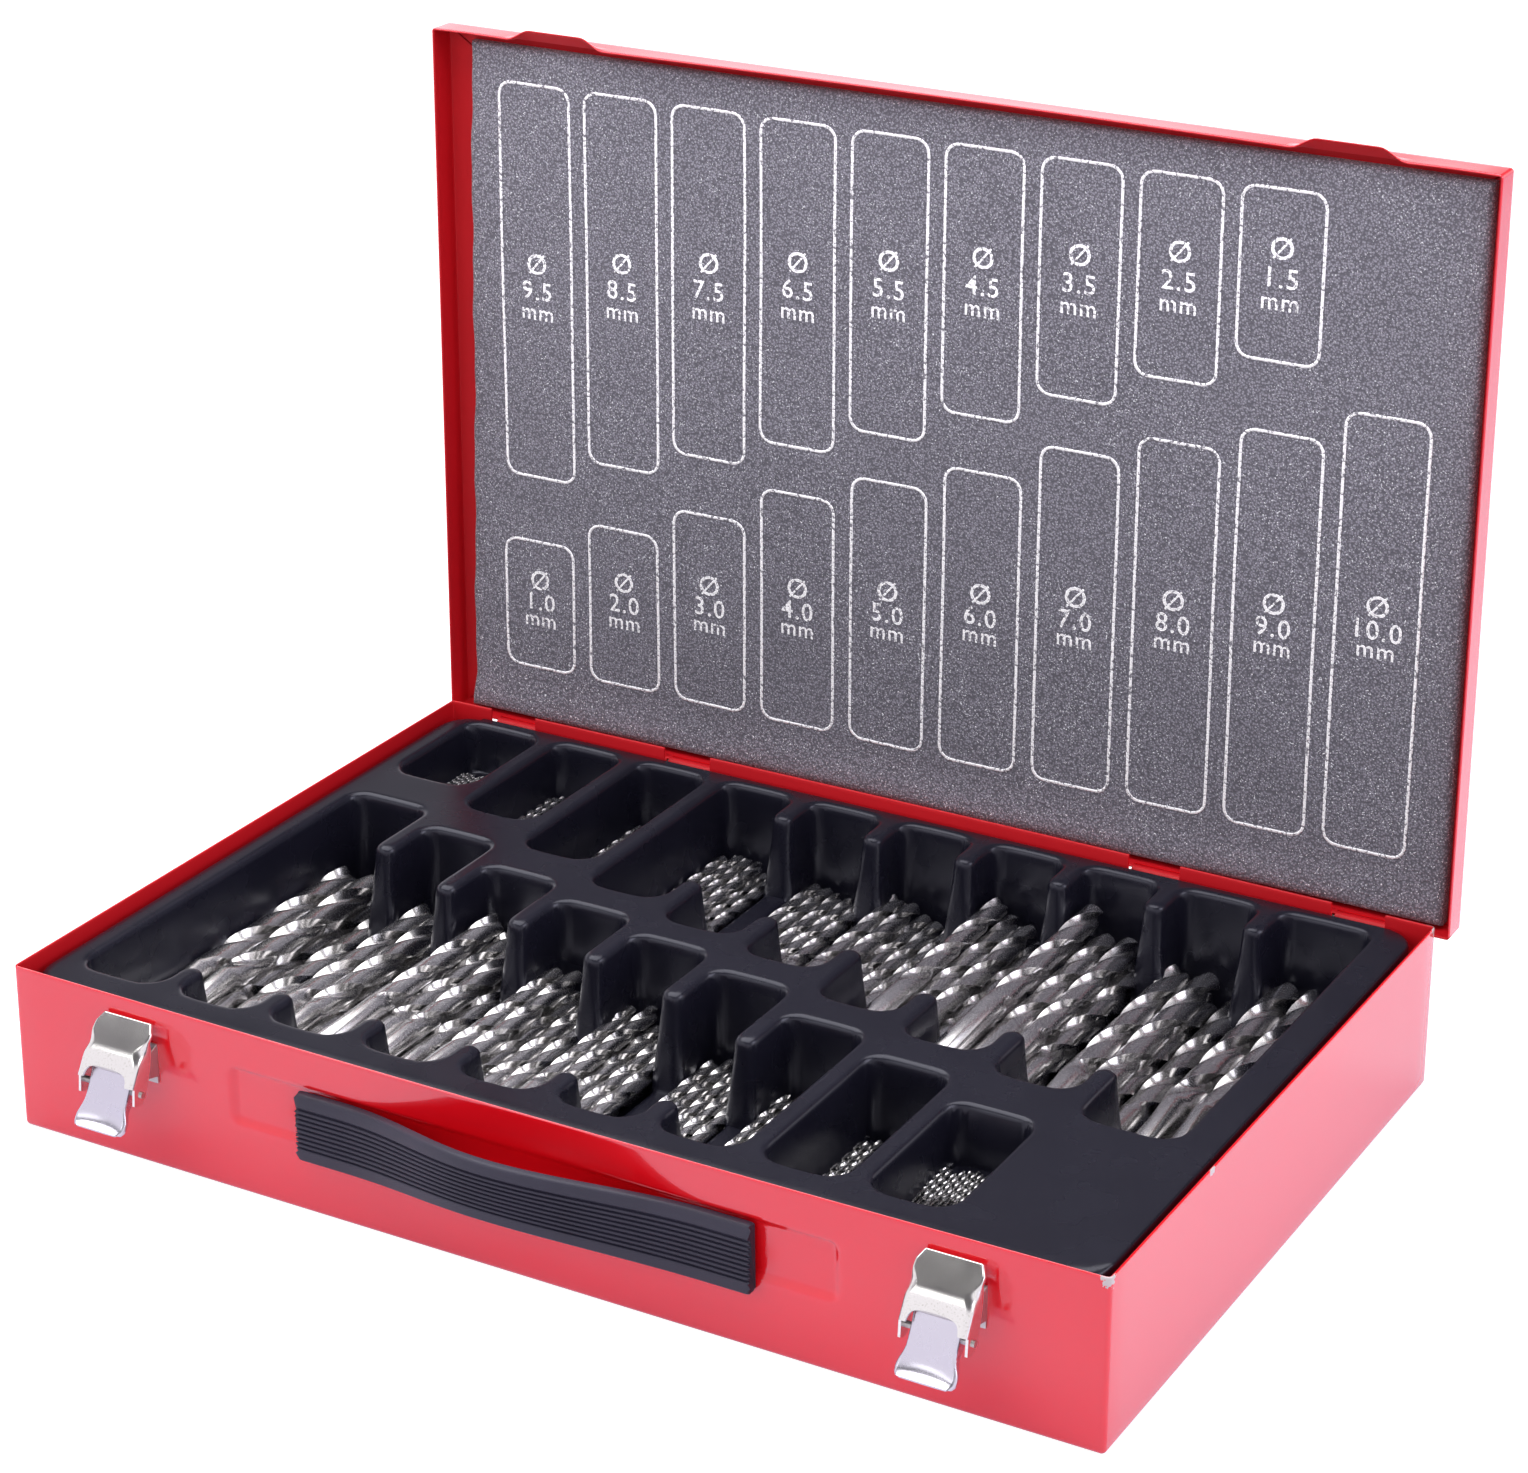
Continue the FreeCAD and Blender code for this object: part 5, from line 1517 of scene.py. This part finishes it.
# %% Press the claws
ARCH_HALF = 7.6 * MM
ARCH_HEIGHT = 4.2 * MM
FLANGE_EDGE = ((-4.3, -1.0, -9.0), (-3.0, -3.2, -8.9), (-1.5, -5.0, -7.6), (1.0, -5.0, -4.0), (3.0, -4.6, -1.0),
               (6.0, -3.4, 4.0), (9.0, -1.6, 8.4), (10.6, 0.0, 10.3), (15.7, -1.6, 15.6))


def claw_out(up):
    """The front face's distance out: plain below the bend, leaning back above it."""
    ease = 1.9 * MM
    past = up - BEND_UP
    slope = CLAW_LEAN / (TIP_UP - BEND_UP)
    if past <= -ease:
        return CLAW_OUT
    if past >= ease:
        return CLAW_OUT - slope * past
    return CLAW_OUT - slope * (past + ease) ** 2 / (4 * ease)


def claw_fold(up):
    """The radius of the fold between plate and flange."""
    top = smoothstep((up / MM - 6) / 5)
    bend = max(0.0, 1 - abs(up / MM - 6.2) / 4.4)
    return (0.8 + 1.0 * (1 - top) + 1.5 * smoothstep(bend)) * MM


def claw_half(up):
    """Half the claw's width, with the corners cut at its tip."""
    return LATCH_HALF - 1.5 * MM * max(0.0, (up / MM - 12.7) / 3)


def claw_grid(centre):
    """The claw's rows of points."""
    ups = [-4.3, -3.4, -2.4, -1.4, -0.4, 0.6, 1.6, 2.6, 3.4, 3.9, 4.4, 4.9, 5.4, 5.9, 6.5, 7.3, 8.2, 9.2, 10.3, 11.4,
           12.5, 12.9, 13.8, 14.8, 15.4, 15.7]
    lip = ((0.35, 0.1), (0.75, -0.1), (1.8, -0.55))
    across = [math.sin(math.radians(a)) for a in range(-90, 91, 6)]
    grid = []
    for k in range(len(ups) + len(lip)):
        up = ups[min(k, len(ups) - 1)] * MM
        hook_in, hook_up = (0.0, 0.0) if k < len(ups) else lip[k - len(ups)]
        fold, half, out = claw_fold(up), claw_half(up), claw_out(up)
        edge_out, edge_up = along_line(up / MM, FLANGE_EDGE)
        side = []
        for q in (1.0, 0.75, 0.5, 0.25):
            side.append((half, out - fold + (edge_out * MM - out + fold) * q, up + (edge_up * MM - up) * q))
        for step in range(6):
            a = math.radians(18 * step)
            share = math.sin(a)
            side.append((half - fold + fold * math.cos(a), out - fold + fold * math.sin(a) - hook_in * MM * share,
                         up + hook_up * MM * share))
        plate = []
        for s in across[1:-1]:
            x = (half - fold) * s
            foot = CLAW_FOOT + ARCH_HEIGHT * max(0.0, 1 - abs(x / ARCH_HALF) ** 3.2) ** (1 / 3.2)
            share = (TIP_UP - up) / (TIP_UP - CLAW_FOOT)
            raised = up + (foot - CLAW_FOOT) * min(1.0, max(0.0, (BEND_UP - 1.4 * MM - up) / (BEND_UP - 1.4 * MM - CLAW_FOOT)))
            plate.append((x, claw_out(raised) - hook_in * MM, raised + hook_up * MM))
        row = [(-x, o, u) for x, o, u in side] + plate + side[::-1]
        grid.append([latch_point(centre + x, o, u) for x, o, u in row])
    return grid


for side, centre in (("left", -latch_x), ("right", latch_x)):
    pressed("claw_" + side, claw_grid(centre), "latch_claw_" + side, "claw_" + side, plating)

# %% [markdown]
# The lever's plate is slightly dished. Toward its foot it widens, and its lower edge is rolled outward so
# that a fingertip can pull it.

# %% Press the levers
LEVER_EDGES = ((-18.6, 8.2, -1.3), (-17.6, 9.0, -1.6), (-16.0, 9.3, -1.9), (-14.0, 8.9, -2.2), (-12.0, 8.0, -2.6),
               (-10.0, 7.5, -3.4), (-8.0, 7.4, -4.4), (-3.0, 7.5, -4.4), (-0.5, 7.7, -2.4), (2.8, 7.2, -0.9))
LEVER_FACE = ((-18.6, 0.6, 0.1), (-18.1, 0.3, 0.2), (-17.4, 0.0, 0.35), (-16.4, -0.3, 0.6), (-14.0, -0.55, 0.9),
              (-9.0, -0.2, 0.55), (-4.0, 0.1, 0.25), (0.0, 0.25, 0.15), (2.8, 0.1, 0.1))
LEVER_FOLD = 1.1 * MM


def lever_grid(centre):
    """The lever's rows of points."""
    ups = [-18.6, -18.35, -18.1, -17.8, -17.4, -16.9, -16.4, -15.4, -14.4, -13.4, -12.4, -11.4, -10.2, -9, -7.5, -6,
           -4.5, -3, -1.5, 0, 1.5, 2.8]
    across = [math.sin(math.radians(a)) for a in range(-90, 91, 9)]
    grid = []
    for height in ups:
        up = height * MM
        half, back = (v * MM for v in along_line(height, LEVER_EDGES))
        face, dish = (v * MM for v in along_line(height, LEVER_FACE))
        side = [(half, face - LEVER_FOLD + (back - face + LEVER_FOLD) * q, up) for q in (1.0, 0.66, 0.33)]
        for step in range(5):
            a = math.radians(22.5 * step)
            side.append((half - LEVER_FOLD + LEVER_FOLD * math.cos(a), face - LEVER_FOLD + LEVER_FOLD * math.sin(a), up))
        plate = [((half - LEVER_FOLD) * s, face - dish * (1 - s * s), up) for s in across[1:-1]]
        row = [(-x, o, u) for x, o, u in side] + plate + side[::-1]
        grid.append([latch_point(centre + x, o, u) for x, o, u in row])
    return grid


for side, centre in (("left", -latch_x), ("right", latch_x)):
    pressed("lever_" + side, lever_grid(centre), "latch_lever_" + side, "lever_" + side, lever_plating_painted_reflection)

# %% [markdown]
# The brackets behind them barely show, so their solids are copied from the frame and only get small rounds.

# %% Soften the brackets
def soften(node, name, body):
    """A copy of a CAD node with rounded edges, which stands for that node."""
    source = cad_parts[node]
    mesh = source.data.copy()
    mesh.transform(source.matrix_world)
    work = bmesh.new()
    work.from_mesh(mesh)
    bmesh.ops.remove_doubles(work, verts=work.verts, dist=1e-6)
    bmesh.ops.dissolve_limit(work, angle_limit=math.radians(2), verts=work.verts, edges=work.edges)
    bmesh.ops.recalc_face_normals(work, faces=work.faces)
    work.to_mesh(mesh)
    work.free()
    mesh.shade_smooth()
    # Painted shade: the brackets get the darker pin steel, not the bright plating of the latches, because they stand in
    # the latches' shadow.
    mesh.materials.clear()
    mesh.materials.append(pin_steel)
    holder = bpy.data.objects.new("holder_" + name, mesh)
    bpy.context.scene.collection.objects.link(holder)
    rounds = holder.modifiers.new("rounds", "BEVEL")
    rounds.limit_method = "ANGLE"
    rounds.width = 0.18 * MM
    rounds.segments = 2
    rounds.harden_normals = True
    obj = plain_mesh(holder, name)
    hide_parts(node)
    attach(obj, body)
    print(name, len(obj.data.polygons), "faces")


for side in ("left", "right"):
    soften("latch_bracket_" + side, "bracket_" + side, "base")

# %% [markdown]
# The small round parts keep their CAD solids and get their own steels: wires, pins, rivets and the strap
# inside the grip.

# %% Finish what stays
for name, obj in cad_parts.items():
    if name.startswith("hinge_wire"):
        obj.data.materials.clear()
        obj.data.materials.append(wire_steel)
    elif "pin" in name or name == "handle_strap":
        obj.data.materials.clear()
        obj.data.materials.append(pin_steel)
    elif "rivets" in name:
        obj.data.materials.clear()
        obj.data.materials.append(plating)

# %% [markdown]
# ## Floor, light and camera
# The case stands on a large white floor that keeps its contact shadow. Round it the world is white near the
# horizon and darker overhead, which is what makes upright red walls pale and level black ones deep.

# %% The floor
bpy.ops.mesh.primitive_grid_add(x_subdivisions=4, y_subdivisions=4, size=30, location=(0, 0, 0))
floor = bpy.context.object
floor.name = "floor"
floor_white = bpy.data.materials.new("floor white")
floor_white.use_nodes = True
tree = floor_white.node_tree
shader = tree.nodes["Principled BSDF"]
shader.inputs["Base Color"].default_value = (0.5, 0.5, 0.5, 1)
shader.inputs["Roughness"].default_value = 1.0
shader.inputs["Specular IOR Level"].default_value = 0.0
path = tree.nodes.new("ShaderNodeLightPath")
glow = mix_colour(tree, path.outputs["Is Camera Ray"], (0.88, 0.84, 1.12), (1.0, 1.0, 1.0))
tree.links.new(glow, shader.inputs["Emission Color"])
seen = math_node(tree, "ADD", path.outputs["Is Camera Ray"], path.outputs["Is Glossy Ray"], clamp=True)
seen = math_node(tree, "ADD", seen, path.outputs["Is Transmission Ray"], clamp=True)
strength = math_node(tree, "MULTIPLY_ADD", path.outputs["Is Camera Ray"], 0.40)
strength.node.inputs[2].default_value = 0.48
tree.links.new(math_node(tree, "MULTIPLY", seen, strength), shader.inputs["Emission Strength"])
floor.data.materials.append(floor_white)

# %% The world
world = bpy.data.worlds.new("studio")
bpy.context.scene.world = world
world.use_nodes = True
tree = world.node_tree
background = tree.nodes["Background"]
coordinates = tree.nodes.new("ShaderNodeTexCoord")
separate = tree.nodes.new("ShaderNodeSeparateXYZ")
tree.links.new(coordinates.outputs["Generated"], separate.inputs[0])
height = math_node(tree, "MULTIPLY_ADD", separate.outputs["Y"], 0.2)
tree.links.new(separate.outputs["Z"], height.node.inputs[2])
sky = ramp(tree, height, ((0.0, (0.97, 0.93, 1.0)), (0.37, (0.97, 0.94, 1.0)), (0.56, (0.18, 0.17, 0.19)),
                          (0.82, (0.03, 0.03, 0.026))))
tree.links.new(sky, background.inputs["Color"])
background.inputs["Strength"].default_value = 1.1


# %% The lamps
def lamp(name, place, target, size_x, size_y, power, colour=(1, 1, 1)):
    """A soft rectangular lamp that faces a target."""
    data = bpy.data.lights.new(name, "AREA")
    data.shape = "RECTANGLE"
    data.size, data.size_y = size_x, size_y
    data.energy = power
    data.color = colour
    obj = bpy.data.objects.new(name, data)
    obj.location = place
    obj.rotation_euler = (Vector(target) - Vector(place)).to_track_quat("-Z", "Y").to_euler()
    bpy.context.scene.collection.objects.link(obj)
    return obj


lamp("overhead", (-0.45, 0.10, 1.30), (-0.45, 0.10, 0), 1.9, 1.4, 30, (1, 0.98, 1))
lamp("front", (-0.62, -1.25, 1.10), (0, -0.05, 0.06), 1.0, 0.35, 2.0)
lamp("right", (1.15, 0.15, 0.85), (0.32, 0, 0), 0.8, 0.8, 7.5, (0.92, 0.9, 1))

# %% The camera
camera_data = bpy.data.cameras.new("camera")
camera_data.lens = 92.77
camera_data.sensor_width = 36
camera_data.shift_x = -0.0071
camera_data.shift_y = -0.1052
camera = bpy.data.objects.new("camera", camera_data)
yaw, pitch, tilt = math.radians(29.3367), math.radians(-21.0292), math.radians(0.1543)
turn = Matrix.Rotation(yaw, 4, "Z") @ Matrix.Rotation(math.radians(90) + pitch, 4, "X") @ Matrix.Rotation(tilt, 4, "Z")
camera.matrix_world = Matrix.Translation((0.5421, -0.9388, 0.5925)) @ turn
bpy.context.scene.collection.objects.link(camera)
bpy.context.scene.camera = camera
bpy.context.scene.view_settings.view_transform = "Standard"
bpy.context.scene.render.resolution_x = 1024
bpy.context.scene.render.resolution_y = 987
